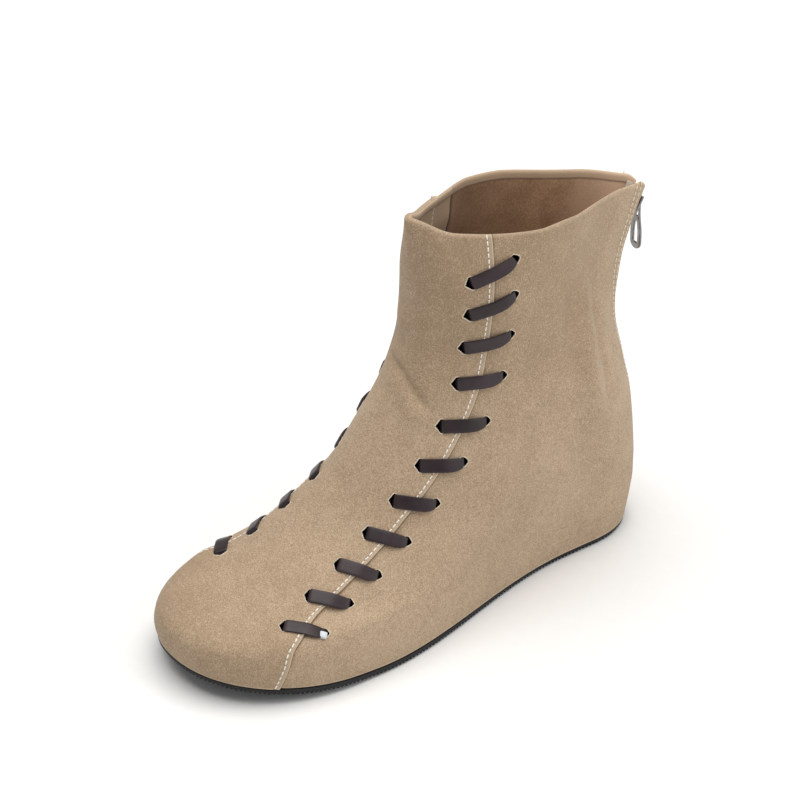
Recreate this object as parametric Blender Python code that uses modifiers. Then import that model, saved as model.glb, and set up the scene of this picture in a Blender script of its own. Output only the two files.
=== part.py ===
"""Costume ankle boot for the left foot, modelled as its separate pieces at real size.

The boot stands on its sole with the toe at -Y, the heel at +Y and the outer side of the foot at +X.
Every curved piece comes from one table of rings around the last, read from the sole edge up to the collar.
Sizes are in millimetres and are scaled to metres when a mesh is made.
"""

import math

import bmesh
import bpy
import numpy as np
from mathutils import Vector
from mathutils.bvhtree import BVHTree

MM = 0.001

# Driving dimensions
WALL = 2.2              # suede and lining together
LAP = 1.2               # height of the step where the front panel lies over the side panels
LAP_RUN = 1.3           # width of that step's slope
GAP = 0.4               # clearance between neighbouring pieces
CENTRE = (2.6, 2.93)    # middle of the boot's box in the last's own x and y

# Sole
SOLE_THICK = 3.2
TOE_LEDGE = 1.0         # how far the sole stands out past the upper around the toe
HEEL_LEDGE = -0.5       # the same around the heel, where the upper bulges over the sole
SOLE_STEP = 0.7         # set-back of the lower half of the sole's side
INSOLE_THICK = 2.5
FLAT_FROM = 0.36        # share of the length, from the toe, where the toe spring ends
SPRING_POWER = 1.8
WAIST_INSET = 5.0       # hollow of the outline under the arch, on the inner side
WAIST_AT = 0.55         # share of the length where it is deepest
WAIST_SPAN = 0.16
WAIST_TOP = 4.0         # ring level where it has faded out
PLATE_STEPS = 28        # stations along the outsole and the insole

# Plan curve of the last: sideways set at the ball and at the toe
BALL_Y = -45.0
BALL_SWING = 2.7
BALL_REACH = 70.0
TOE_SWING = 0.2
TOE_REACH = 85.0
INNER_FADE = (0.25, 0.35)  # where the inner side's own form starts to fade, and over what length
CORNER_DIP = 4.5        # the collar's drop at the zip
CORNER_FROM = 0.76      # share of the length where the drop starts
COLLAR_PEAK = 2.5       # rise of the collar's pinched front corner
PEAK_REACH = 0.10       # share of the length over which it falls away
COLLAR_SAG = 3.2        # drop of the slack edges behind that corner
SAG_RISE, SAG_FROM, SAG_FADE = 0.12, 0.17, 0.33  # where it is reached, starts to fade, and over what length

# Lacing: a flat strip that whips over each side seam
BAR_REACH = 11.4        # from the seam to the middle of a hole
STRIP_WIDE = 6.5
STRIP_THICK = 1.4
HOLE_WIDE = 9.2         # across the strip
HOLE_LONG = 5.6         # along the strip
HOLE_SIDES = 8
HOLE_DEPTH = 5.0        # the cutters reach this far to each side of the surface
STRIP_LIFT = 0.9        # clearance between the strip and the wall outside
STRIP_UNDER = 1.7       # clearance inside, where the strip runs straight from bar to bar
STRIP_TURN = 1.5        # run of the strip's bend into a hole
STRIP_DIP = 1.1         # height that the bend takes up on the inside
STRIP_MOUTH = -0.2      # height of the strip's middle in the mouth of a hole
CREST = (-5.5, -0.5, 4.5)  # stations across the seam between a bar's two bends
LAP_EASE_FROM = 2.5     # past the seam, where a bar starts to come down off the front panel
LAP_EASE_RUN = 7.0
# Bars from the toe to the collar: distance along the seam from the sole edge, and lean up the seam in degrees
BARS = (
    (31.7, 12), (51.5, 31), (70.8, 25), (91.1, 25), (111.8, 30), (133.3, 31),
    (154.2, 25), (176.0, 15), (195.2, 12), (214.0, 17), (230.9, 20),
)
INNER_AHEAD = 6.3       # how much further up its seam the inner side's toe bar is, fading out to the top bar

# Zip at the centre back
ZIP_HALF_GAP = 4.0      # half the distance between the two folded panel edges
ZIP_FOOT_LEVEL = 3.75   # ring level where the zip starts
TAPE_THICK = 0.8
TAPE_COLUMNS = 3        # wall columns that the tape reaches to each side
CHAIN_WIDE = 3.4
CHAIN_THICK = 1.4
CHAIN_OUT = 0.4         # how far it stands out past the folded edges
CHAIN_FOOT, CHAIN_END = 0.15, 0.05  # ring levels that it stops short of the slit's ends
CHAIN_STEPS = 16
SLIDER_LEVEL = 8.66
SLIDER_SIZE = (8.2, 1.6, 11.0)
SLIDER_ROUND = 0.6
BAIL_REACH = 2.9
BAIL_WIRE = 0.65
BAIL_FOOT = 0.5         # depth of its feet in the slider's plate
BAIL_STEPS, BAIL_SIDES = 8, 6
PULL_LONG = 24.0
PULL_WIDE = 7.4
PULL_NECK = 4.6
PULL_THICK = 1.1
PULL_TIP = 4.0          # length of its round end
PULL_RISE = 0.55        # the cross bar's upper edge over the hinge line
PULL_PLAY = 0.25
WINDOW_HALF, WINDOW_TOP, WINDOW_FOOT = 1.35, 0.75, 6.0
SLOT_RIM, SLOT_FROM, SLOT_TO = 2.3, 0.38, 0.86

# Rings around the last. Each row gives the ring's front and back points, its half widths at the ball and
# heel, the length and roundness of its front and back ends, where the two seams cross it (share of length),
# and how much slimmer and higher the inner side of its front is than the outer side.
RING_COLUMNS = ("front_y", "front_z", "back_y", "back_z", "ball", "heel", "toe_cap", "heel_cap",
                "toe_power", "heel_power", "outer_seam", "inner_seam", "inner_slim", "inner_rise")
RINGS = (
    ("sole_edge", -131.5, 13.2, 126.7, 3.6, 50.5, 31.8, 66.0, 35.7, 2.15, 2.20, 0.106, 0.124, 0.0, 0.0),
    ("side_wall", -132.5, 20.6, 129.0, 17.0, 50.7, 33.4, 68.5, 38.6, 2.22, 2.20, 0.127, 0.138, 0.8, 0.5),
    ("toe_turn", -127.6, 29.2, 130.2, 27.5, 49.2, 34.2, 76.0, 39.4, 2.20, 2.20, 0.131, 0.142, 3.5, 3.0),
    ("toe_top", -95.4, 36.0, 130.2, 36.0, 45.5, 34.6, 82.0, 40.0, 2.18, 2.20, 0.102, 0.120, 4.0, 6.0),
    ("vamp", -49.5, 58.2, 129.4, 52.0, 42.0, 35.7, 78.5, 38.8, 2.18, 2.05, 0.107, 0.121, 3.8, 10.5),
    ("low_instep", -26.0, 83.3, 129.6, 68.0, 40.0, 35.6, 76.0, 39.0, 2.20, 1.80, 0.142, 0.154, 3.2, 9.0),
    ("instep", -8.2, 110.3, 127.2, 88.0, 35.6, 35.4, 64.5, 40.6, 2.20, 1.52, 0.174, 0.190, 1.5, 3.0),
    ("throat", 0.0, 135.0, 124.6, 110.0, 32.6, 31.6, 55.0, 46.0, 2.12, 1.36, 0.192, 0.210, 0.0, 0.0),
    ("ankle", 2.8, 163.0, 130.0, 138.0, 33.6, 23.8, 51.2, 56.0, 2.06, 1.30, 0.189, 0.208, 0.0, 0.0),
    ("collar", -0.8, 195.6, 145.5, 177.4, 33.6, 23.2, 56.0, 70.0, 1.28, 1.25, 0.207, 0.226, 5.0, 0.0),
)
BALL_AT, HEEL_AT = 0.30, 0.80
LEVEL_FADE = 3.0        # ring level where the rings no longer follow the flat sole
SEAM_STEPS, SIDE_STEPS = 6, 14
ROUTE_STEPS = 400       # points along a seam when distances are measured on it
FOOT_TOP = 4             # ring level where the rows of the foot end and those of the shaft start
FOOT_LEVELS, SHAFT_LEVELS = 15, 16

TABLE = np.array([row[1:] for row in RINGS])
TOP_LEVEL = len(RINGS) - 1

# Colours and finish of each material: base colour, roughness, metallic
FINISHES = {
    "suede": ((0.42, 0.30, 0.19), 0.95, 0.0),
    "strip": ((0.035, 0.024, 0.024), 0.45, 0.0),
    "rubber": ((0.012, 0.012, 0.014), 0.70, 0.0),
    "board": ((0.30, 0.22, 0.15), 0.90, 0.0),
    "tape": ((0.55, 0.44, 0.32), 0.85, 0.0),
    "metal": ((0.72, 0.72, 0.72), 0.25, 1.0),
}


def smoothstep(t):
    t = min(max(t, 0.0), 1.0)
    return t * t * (3 - 2 * t)


def row_slopes():
    """Slopes at the table's rows. Only the front line's own curve may pass over its rows."""
    steps = np.diff(TABLE, axis=0)
    slopes = np.zeros_like(TABLE)
    before, after = steps[:-1], steps[1:]
    same_way = before * after > 0
    total = np.where(same_way, before + after, 1.0)
    slopes[1:-1] = np.where(same_way, 2 * before * after / total, 0.0)
    slopes[0] = steps[0]
    slopes[-1] = steps[-1]
    slopes[1:-1, :2] = (before[:, :2] + after[:, :2]) / 2
    return slopes


SLOPES = row_slopes()


def ring(level, grow=0.0):
    """The ring at a level of the table, grown outward on every side by a distance."""
    low = min(int(level), TOP_LEVEL - 1)
    t = level - low
    start = (1 + 2 * t) * (1 - t) ** 2
    end = t * t * (3 - 2 * t)
    values = start * TABLE[low] + end * TABLE[low + 1]
    values = values + t * (1 - t) ** 2 * SLOPES[low] - t * t * (1 - t) * SLOPES[low + 1]
    found = dict(zip(RING_COLUMNS, values))
    found["front_y"] -= grow
    found["back_y"] += grow
    found["level"] = level
    for size in ("ball", "heel", "toe_cap", "heel_cap"):
        found[size] += grow
    return found


def round_end(share, power):
    """Rises from 0 to 1 along a rounded end."""
    return (1 - (1 - min(max(share, 0.0), 1.0)) ** power) ** (1 / power)


def front_share(u):
    """1 along the front of the boot and 0 towards the heel."""
    return 1 - smoothstep((u - INNER_FADE[0]) / INNER_FADE[1])


def half_width(r, u, side):
    length = r["back_y"] - r["front_y"]
    wide = r["ball"] + (r["heel"] - r["ball"]) * smoothstep((u - BALL_AT) / (HEEL_AT - BALL_AT))
    if side < 0:
        hollow = math.exp(-((u - WAIST_AT) / WAIST_SPAN) ** 2)
        wide -= WAIST_INSET * hollow * (1 - smoothstep(r["level"] / WAIST_TOP))
        wide -= r["inner_slim"] * front_share(u)
    toe = round_end(u * length / r["toe_cap"], r["toe_power"])
    heel = round_end((1 - u) * length / r["heel_cap"], r["heel_power"])
    return wide * toe * heel


def centre_x(y):
    """Sideways set of the last's middle line."""
    ball = BALL_SWING * math.exp(-((y - BALL_Y) / BALL_REACH) ** 2)
    toe = TOE_SWING * min(max((BALL_Y - y) / TOE_REACH, 0.0), 1.2) ** 2
    return ball + toe


def ring_point(r, u, side):
    """A point of a ring, from the front (u = 0) to the back (u = 1), on the outer or the inner side."""
    y = r["front_y"] + (r["back_y"] - r["front_y"]) * u
    fade = smoothstep(r["level"] / LEVEL_FADE)
    flat_sole = max((FLAT_FROM - u) / FLAT_FROM, 0.0) ** SPRING_POWER
    slope = 1 - 0.5 * (u + smoothstep(u))
    z = r["back_z"] + (r["front_z"] - r["back_z"]) * ((1 - fade) * flat_sole + fade * slope)
    wide = half_width(r, u, side)
    if side < 0:
        z += r["inner_rise"] * front_share(u) * wide / r["ball"]
    at_zip = smoothstep((u - CORNER_FROM) / (1 - CORNER_FROM))
    peak = COLLAR_PEAK * (1 - smoothstep(u / PEAK_REACH))
    sag = COLLAR_SAG * smoothstep(u / SAG_RISE) * (1 - smoothstep((u - SAG_FROM) / SAG_FADE))
    z += (peak - sag - CORNER_DIP * at_zip) * smoothstep(r["level"] - TOP_LEVEL + 1)
    x = centre_x(y) + side * wide
    return Vector((x - CENTRE[0], y - CENTRE[1], z))


def zip_edge(r, side):
    """Where the half width falls to the zip's half gap."""
    low, high = HEEL_AT, 1.0
    for _ in range(40):
        middle = (low + high) / 2
        if half_width(r, middle, side) > ZIP_HALF_GAP:
            low = middle
        else:
            high = middle
    return low


def seam_share(r, side):
    return r["outer_seam" if side > 0 else "inner_seam"]


def side_columns(r, side):
    """Shares of the length for one side's columns: front panel up to the seam, side panel up to the zip."""
    seam = seam_share(r, side)
    front = [seam * (k / SEAM_STEPS) ** 2 for k in range(1, SEAM_STEPS + 1)]
    start = seam + LAP_RUN / (r["back_y"] - r["front_y"])
    end = zip_edge(r, side)
    back = [start + (end - start) * math.sin(math.pi / 2 * k / SIDE_STEPS) for k in range(SIDE_STEPS + 1)]
    return front + back


def zip_middle(r):
    """Middle between the two folded edges of a ring, where the zip runs."""
    return ring_point(r, zip_edge(r, 1), 1).lerp(ring_point(r, zip_edge(r, -1), -1), 0.5)


def wall_grid():
    """Points of the last, ring by ring, each running round from the front over the outer side and back."""
    foot = np.linspace(0, FOOT_TOP, FOOT_LEVELS)
    shaft = np.linspace(FOOT_TOP, TOP_LEVEL, SHAFT_LEVELS)[1:]
    rows = []
    for level in np.concatenate([foot, shaft]):
        r = ring(level)
        outer = [ring_point(r, u, 1) for u in side_columns(r, 1)]
        inner = [ring_point(r, u, -1) for u in side_columns(r, -1)]
        rows.append([ring_point(r, 0, 1)] + outer + [zip_middle(r)] + inner[::-1])
    return rows


def grid_normals(rows):
    """Outward normals of the rings. The lowest ring's are level, so that the sole edge stays flat,
    and those of the folded edges beside the zip are their own panel's."""
    count = len(rows[0])
    normals = []
    for i, row in enumerate(rows):
        below = rows[max(i - 1, 0)]
        above = rows[min(i + 1, len(rows) - 1)]
        along = [row[(j + 1) % count] - row[j - 1] for j in range(count)]
        if i >= ZIP_FOOT:
            along[BACK - 1] = row[BACK - 1] - row[BACK - 2]
            along[BACK + 1] = row[BACK + 2] - row[BACK + 1]
        normals.append([along[j].cross(above[j] - below[j]).normalized() for j in range(count)])
    normals[0] = [Vector((n.x, n.y, 0)).normalized() for n in normals[0]]
    return normals


ROWS = wall_grid()
COLUMNS = len(ROWS[0])
BACK = COLUMNS // 2
ZIP_FOOT = round(ZIP_FOOT_LEVEL / FOOT_TOP * (FOOT_LEVELS - 1))
NORMALS = grid_normals(ROWS)


def on_front_panel(column):
    return min(column, COLUMNS - column) <= SEAM_STEPS


def in_zip_slit(row, column):
    return row >= ZIP_FOOT and column in (BACK - 1, BACK)


def wall_faces(with_slit):
    """Faces of the wall's grid of points, with or without the slit for the zip."""
    faces = []
    for i in range(len(ROWS) - 1):
        for j in range(COLUMNS):
            if with_slit and in_zip_slit(i, j):
                continue
            k = (j + 1) % COLUMNS
            faces.append((i * COLUMNS + j, i * COLUMNS + k, (i + 1) * COLUMNS + k, (i + 1) * COLUMNS + j))
    return faces


def start_scene():
    for old in list(bpy.data.objects):
        bpy.data.objects.remove(old)
    boot = bpy.data.collections.new("costume_boot")
    cutters = bpy.data.collections.new("cutters")
    for collection in (boot, cutters):
        bpy.context.scene.collection.children.link(collection)
    return boot, cutters


BOOT, CUTTERS = start_scene()


def material(name):
    colour, roughness, metallic = FINISHES[name]
    made = bpy.data.materials.get(name) or bpy.data.materials.new(name)
    made.use_nodes = True
    shader = made.node_tree.nodes["Principled BSDF"]
    shader.inputs["Base Color"].default_value = (*colour, 1.0)
    shader.inputs["Roughness"].default_value = roughness
    shader.inputs["Metallic"].default_value = metallic
    return made


def add_object(name, points, faces, finish, collection=BOOT):
    """A mesh object from points in millimetres, with its faces turned outward and its doubles merged."""
    mesh = bpy.data.meshes.new(name)
    mesh.from_pydata([tuple(p * MM) for p in points], [], faces)
    bm = bmesh.new()
    bm.from_mesh(mesh)
    bmesh.ops.remove_doubles(bm, verts=bm.verts, dist=0.02 * MM)
    bmesh.ops.recalc_face_normals(bm, faces=bm.faces)
    bm.to_mesh(mesh)
    bm.free()
    mesh.shade_smooth()
    mesh.set_sharp_from_angle(angle=math.radians(40))
    mesh.materials.append(material(finish))
    made = bpy.data.objects.new(name, mesh)
    collection.objects.link(made)
    return made


def loft(sections, closed_ends=True):
    """Points and faces of a body through sections that are loops of equal length."""
    count = len(sections[0])
    points = [p for section in sections for p in section]
    faces = []
    for i in range(len(sections) - 1):
        for j in range(count):
            k = (j + 1) % count
            faces.append((i * count + j, i * count + k, (i + 1) * count + k, (i + 1) * count + j))
    if closed_ends:
        faces.append(tuple(range(count))[::-1])
        faces.append(tuple(range((len(sections) - 1) * count, len(sections) * count)))
    return points, faces


def make_upper():
    """Suede wall, open at the collar, underneath and at the zip, its front panel lapped over the sides."""
    points = []
    for row, normals in zip(ROWS, NORMALS):
        for j in range(COLUMNS):
            points.append(row[j] + normals[j] * (LAP if on_front_panel(j) else 0.0))
    upper = add_object("upper", points, wall_faces(with_slit=True), "suede")
    bm = bmesh.new()
    bm.from_mesh(upper.data)
    loose = [v for v in bm.verts if not v.link_faces]
    bmesh.ops.delete(bm, geom=loose, context="VERTS")
    bm.to_mesh(upper.data)
    bm.free()
    wall = upper.modifiers.new("wall", "SOLIDIFY")
    wall.thickness = WALL * MM
    wall.offset = -1.0
    return upper


TREE = BVHTree.FromPolygons([p for row in ROWS for p in row], wall_faces(with_slit=False))


def seam_route(side):
    """Points along one seam, close together, from the sole edge to the collar."""
    levels = np.linspace(0, TOP_LEVEL, ROUTE_STEPS)
    return [ring_point(ring(level), seam_share(ring(level), side), side) for level in levels]


def along_route(route, distance):
    """Point and direction at a distance along a route."""
    for start, end in zip(route, route[1:]):
        step = (end - start).length
        if distance <= step:
            return start.lerp(end, distance / step), (end - start).normalized()
        distance -= step
    return route[-1], (route[-1] - route[-2]).normalized()


def towards(direction, reference):
    return direction if direction.dot(reference) > 0 else -direction


def lace_bars(side):
    """Middle, direction across the seam and surface normal of each bar, from the toe to the collar."""
    route = seam_route(side)
    bars = []
    for k, (along, lean) in enumerate(BARS):
        if side < 0:
            along += INNER_AHEAD * (1 - k / (len(BARS) - 1))
        middle, up = along_route(route, along)
        normal = towards(TREE.find_nearest(middle)[1], Vector((middle.x, 0, 20)))
        up = (up - normal * up.dot(normal)).normalized()
        across = towards(up.cross(normal), Vector((0, 1, 0)))
        across = across * math.cos(math.radians(lean)) + up * math.sin(math.radians(lean))
        bars.append((middle, across, normal))
    return bars


def above_wall(bar, reach, height):
    """A point at a reach along a bar and a height over the wall, and the way out of the wall there."""
    middle, across, normal = bar
    near, facing, _, _ = TREE.find_nearest(middle + across * reach)
    facing = towards(facing, normal)
    return near + facing * height, facing


def lap_under(reach):
    """Height of the front panel under a bar, eased off over the side panel."""
    return LAP * (1 - smoothstep((reach - LAP_EASE_FROM) / LAP_EASE_RUN))


def make_hole_cutters():
    """One closed prism through the wall for each end of each bar."""
    points, faces = [], []
    for side in (1, -1):
        for bar in lace_bars(side):
            for end in (-1, 1):
                centre, axis = above_wall(bar, end * BAR_REACH, 0.0)
                along = (bar[1] - axis * bar[1].dot(axis)).normalized()
                over = axis.cross(along)
                sections = []
                for depth in (-HOLE_DEPTH, HOLE_DEPTH):
                    loop = []
                    for k in range(HOLE_SIDES):
                        angle = 2 * math.pi * (k + 0.5) / HOLE_SIDES
                        offset = along * (math.cos(angle) * HOLE_LONG / 2)
                        offset += over * (math.sin(angle) * HOLE_WIDE / 2)
                        loop.append(centre + axis * depth + offset / math.cos(math.pi / HOLE_SIDES))
                    sections.append(loop)
                more_points, more_faces = loft(sections)
                faces += [tuple(index + len(points) for index in face) for face in more_faces]
                points += more_points
    cutter = add_object("lace_holes", points, faces, "suede", CUTTERS)
    cutter.hide_render = True
    cutter.display_type = "WIRE"
    return cutter


def lace_path(side):
    """The strip's middle line with its width direction: over each bar, in at its holes and on to the next."""
    over = STRIP_LIFT + STRIP_THICK / 2
    under = -(WALL + STRIP_UNDER + STRIP_THICK / 2)
    turn = BAR_REACH - STRIP_TURN
    path = []
    for bar in lace_bars(side):
        stations = [(-turn, under), (-BAR_REACH, under + STRIP_DIP), (-BAR_REACH, STRIP_MOUTH)]
        stations += [(reach, over + lap_under(reach)) for reach in (-turn, *CREST, turn)]
        stations += [(BAR_REACH, STRIP_MOUTH), (BAR_REACH, under + STRIP_DIP), (turn, under)]
        for reach, height in stations:
            point, facing = above_wall(bar, reach, height)
            path.append((point, facing.cross(bar[1])))
    return path[2:-2]


def make_lace(name, side):
    path = lace_path(side)
    sections = []
    for k, (point, wide) in enumerate(path):
        before = path[max(k - 1, 0)][0]
        after = path[min(k + 1, len(path) - 1)][0]
        forward = (after - before).normalized()
        wide = (wide - forward * wide.dot(forward)).normalized() * (STRIP_WIDE / 2)
        thick = forward.cross(wide).normalized() * (STRIP_THICK / 2)
        top, bottom = point + thick, point - thick
        sections.append([top + wide, top - wide, bottom - wide, bottom + wide])
    return add_object(name, *loft(sections), "strip")


def plate(name, toe_grow, heel_grow, top, bottom, finish, step=0.0):
    """A sole-shaped plate, grown by one distance at the toe and another at the heel.

    Its side has a step half way down when one is given.
    """
    stations = [0.5 - 0.5 * math.cos(math.pi * k / PLATE_STEPS) for k in range(PLATE_STEPS + 1)]
    middle = (top + bottom) / 2
    levels = [(0.0, top), (0.0, bottom)]
    if step:
        levels = [(0.0, top), (0.0, middle), (-step, middle), (-step, bottom)]
    loops = []
    for more, drop in levels:
        sides = [(u, 1) for u in stations] + [(u, -1) for u in stations[-2:0:-1]]
        loop = []
        for u, side in sides:
            grow = more + toe_grow + (heel_grow - toe_grow) * smoothstep((u - BALL_AT) / (HEEL_AT - BALL_AT))
            loop.append(ring_point(ring(0, grow), u, side) + Vector((0, 0, drop)))
        loops.append(loop)
    points, faces = loft(loops, closed_ends=False)
    count = len(loops[0])
    for base in (0, (len(loops) - 1) * count):
        for j in range(len(stations) - 1):
            pair = [j, j + 1, (count - j - 1) % count, (count - j) % count]
            faces.append(tuple(dict.fromkeys(base + index for index in pair)))
    return add_object(name, points, faces, finish)


def back_line(level, depth):
    """Point on the centre back at a depth under the surface, and the surface normal there."""
    low = zip_middle(ring(level - 0.05))
    high = zip_middle(ring(min(level + 0.05, TOP_LEVEL)))
    up = (high - low).normalized()
    normal = towards(Vector((1, 0, 0)).cross(up), Vector((0, 1, 0)))
    return zip_middle(ring(level)) - normal * depth, normal, up


def tape_line(row, depth):
    """Points across a row at a depth: against both panels, and straight between their folded edges."""
    columns = range(BACK - TAPE_COLUMNS, BACK + TAPE_COLUMNS + 1)
    line = [ROWS[row][j] - NORMALS[row][j] * depth for j in columns]
    line[TAPE_COLUMNS] = line[TAPE_COLUMNS - 1].lerp(line[TAPE_COLUMNS + 1], 0.5)
    return line


def make_zip_tape():
    """Tape behind the two folded panel edges."""
    sections = []
    for row in range(ZIP_FOOT, len(ROWS)):
        front = tape_line(row, WALL + GAP)
        rear = tape_line(row, WALL + GAP + TAPE_THICK)
        sections.append(front + rear[::-1])
    return add_object("zip_tape", *loft(sections), "tape")


def make_zip_chain():
    """The closed row of coils between the panel edges."""
    sections = []
    for level in np.linspace(ZIP_FOOT_LEVEL + CHAIN_FOOT, TOP_LEVEL - CHAIN_END, CHAIN_STEPS):
        middle, normal, _ = back_line(level, -CHAIN_OUT)
        across = Vector((CHAIN_WIDE / 2, 0, 0))
        inner = middle - normal * CHAIN_THICK
        sections.append([middle - across, middle + across, inner + across, inner - across])
    return add_object("zip_chain", *loft(sections), "tape")


def slider_place():
    """Middle of the slider's plate, its outward direction and its upward direction."""
    foot, normal, up = back_line(SLIDER_LEVEL, -CHAIN_OUT - GAP)
    return foot + normal * SLIDER_SIZE[1] / 2, normal, up


def hinge_point():
    """Middle of the pull's cross bar, inside the slider's bail."""
    middle, normal, _ = slider_place()
    return middle + normal * (SLIDER_SIZE[1] / 2 + GAP + PULL_THICK / 2 + PULL_PLAY)


def make_zip_slider():
    middle, normal, up = slider_place()
    bpy.ops.mesh.primitive_cube_add(size=1, location=middle * MM)
    slider = bpy.context.object
    slider.name = slider.data.name = "zip_slider"
    slider.scale = Vector(SLIDER_SIZE) * MM
    slider.rotation_euler = (math.atan2(-up.y, up.z), 0, 0)
    bpy.ops.object.transform_apply(location=False, rotation=False, scale=True)
    edges = slider.modifiers.new("round_edges", "BEVEL")
    edges.width = SLIDER_ROUND * MM
    edges.segments = 2
    bail = make_bail(middle, normal, up)
    join = slider.modifiers.new("bail", "BOOLEAN")
    join.operation = "UNION"
    join.object = bail
    slider.data.materials.append(material("metal"))
    move_to(slider, BOOT)
    return slider


def make_bail(middle, normal, up):
    """Half ring of wire that stands on the slider's plate."""
    foot = middle + normal * (SLIDER_SIZE[1] / 2 - BAIL_FOOT)
    sections = []
    for k in range(BAIL_STEPS + 1):
        angle = math.pi * k / BAIL_STEPS
        spoke = up * math.cos(angle) * BAIL_REACH + normal * math.sin(angle) * (BAIL_REACH + BAIL_FOOT)
        tangent = (up * -math.sin(angle) + normal * math.cos(angle)).normalized()
        thick = tangent.cross(Vector((1, 0, 0))).normalized()
        loop = []
        for m in range(BAIL_SIDES):
            turn = 2 * math.pi * m / BAIL_SIDES
            wire = Vector((1, 0, 0)) * math.cos(turn) + thick * math.sin(turn)
            loop.append(foot + spoke + wire * BAIL_WIRE)
        sections.append(loop)
    bail = add_object("bail_form", *loft(sections), "metal", CUTTERS)
    bail.hide_render = True
    bail.display_type = "WIRE"
    return bail


def move_to(piece, collection):
    for old in list(piece.users_collection):
        old.objects.unlink(piece)
    collection.objects.link(piece)


def pull_outline(inset=0.0, start=0.0, end=1.0, steps=14):
    """Half widths along the pull from its cross bar to its round end."""
    outline = []
    for k in range(steps + 1):
        t = start + (end - start) * k / steps
        wide = PULL_NECK + (PULL_WIDE - PULL_NECK) * smoothstep((t - 0.15) / 0.5)
        round_tip = round_end((1 - t) * PULL_LONG / PULL_TIP, 2.0)
        outline.append((t * PULL_LONG, max(wide / 2 * round_tip - inset, 0.0)))
    return outline


def make_zip_pull():
    """Flat teardrop tab that hangs from its cross bar, with a window for the bail and a slot below."""
    hinge = hinge_point()
    outline = pull_outline()
    loop = [(w, -d) for d, w in outline] + [(-w, -d) for d, w in outline[-2::-1]]
    pull = prism("zip_pull", loop, PULL_THICK, BOOT)
    pull.location = hinge * MM
    window = [(x, -d) for x, d in (
        (WINDOW_HALF, WINDOW_TOP), (WINDOW_HALF, WINDOW_FOOT),
        (-WINDOW_HALF, WINDOW_FOOT), (-WINDOW_HALF, WINDOW_TOP),
    )]
    slot = [(w, -d) for d, w in pull_outline(SLOT_RIM, SLOT_FROM, SLOT_TO, 6)]
    slot += [(-w, d) for w, d in slot[::-1]]
    for name, hole in (("pull_window", window), ("pull_slot", slot)):
        cutter = prism(name, hole, 4 * PULL_THICK, CUTTERS)
        cutter.location = hinge * MM
        cutter.hide_render = True
        cutter.display_type = "WIRE"
        cut = pull.modifiers.new(name, "BOOLEAN")
        cut.object = cutter
    return pull


def prism(name, loop, thick, collection):
    """A flat outline in x and z, centred on its thickness, with the pull's cross bar over its origin."""
    sections = [[Vector((x, y, z + PULL_RISE)) for x, z in loop] for y in (-thick / 2, thick / 2)]
    return add_object(name, *loft(sections), "metal", collection)


def make_boot():
    upper = make_upper()
    holes = upper.modifiers.new("lace_holes", "BOOLEAN")
    holes.object = make_hole_cutters()
    plate("outsole", TOE_LEDGE, HEEL_LEDGE, -GAP, -GAP - SOLE_THICK, "rubber", SOLE_STEP)
    inset = -(WALL + 4 * GAP)
    plate("insole", inset, inset, INSOLE_THICK, 0.0, "board")
    make_lace("lace_outer_side", 1)
    make_lace("lace_inner_side", -1)
    make_zip_tape()
    make_zip_chain()
    make_zip_slider()
    make_zip_pull()


make_boot()
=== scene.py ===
"""Looks of the costume ankle boot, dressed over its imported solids.

The wall, seams, lacing, zip and soles follow the same rings around the last as the solids do. Only the outer
seam beside the toe and the ends of the toe's bars are set closer to the photo here.
Sizes are in millimetres in the boot's own frame: toe at -Y, heel at +Y, outer side of the left foot at +X.
"""

import math

import bpy
import numpy as np
from mathutils import Matrix, Vector
from mathutils.bvhtree import BVHTree


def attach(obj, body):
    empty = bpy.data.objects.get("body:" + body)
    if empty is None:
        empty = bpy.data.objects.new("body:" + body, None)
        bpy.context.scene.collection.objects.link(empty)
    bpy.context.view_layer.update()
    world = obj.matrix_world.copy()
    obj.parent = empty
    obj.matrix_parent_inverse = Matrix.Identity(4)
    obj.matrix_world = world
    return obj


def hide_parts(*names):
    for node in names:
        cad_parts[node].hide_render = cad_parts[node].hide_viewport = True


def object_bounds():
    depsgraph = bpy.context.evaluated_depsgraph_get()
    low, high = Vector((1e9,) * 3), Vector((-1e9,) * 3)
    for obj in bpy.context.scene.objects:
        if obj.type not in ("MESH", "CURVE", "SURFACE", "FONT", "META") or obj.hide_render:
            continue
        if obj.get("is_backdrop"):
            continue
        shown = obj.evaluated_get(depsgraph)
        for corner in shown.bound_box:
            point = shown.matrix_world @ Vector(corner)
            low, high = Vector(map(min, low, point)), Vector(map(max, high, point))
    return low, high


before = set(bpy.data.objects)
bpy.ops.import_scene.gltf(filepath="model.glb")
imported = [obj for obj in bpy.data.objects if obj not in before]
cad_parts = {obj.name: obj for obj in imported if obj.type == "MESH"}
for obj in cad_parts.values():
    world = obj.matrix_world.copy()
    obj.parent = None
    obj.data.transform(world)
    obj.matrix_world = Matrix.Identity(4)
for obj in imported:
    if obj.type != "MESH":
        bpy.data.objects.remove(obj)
SOLID_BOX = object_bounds()

MM = 0.001
MERGE = 0.02 * MM

# Wall and panels
WALL = 2.2
LAP = 1.2               # the front panel lies this much over the side panels
GAP = 0.4
CENTRE = (2.6, 2.93)
RIM_ROUND = 1.9         # radius of the folded edge at the collar and beside the zip

# Sole
SOLE_THICK = 3.2
TOE_LEDGE = 1.0
HEEL_LEDGE = -0.5
SOLE_STEP = 0.7
RIB_PITCH = 0.55        # stations along the sole, four to a rib
RIB_DEPTH, RIB_NOTCH = 0.5, 0.3
INSOLE_THICK = 2.5
FLAT_FROM = 0.36
SPRING_POWER = 1.8
WAIST_INSET = 5.0
WAIST_AT = 0.55
WAIST_SPAN = 0.16
WAIST_TOP = 4.0

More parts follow.
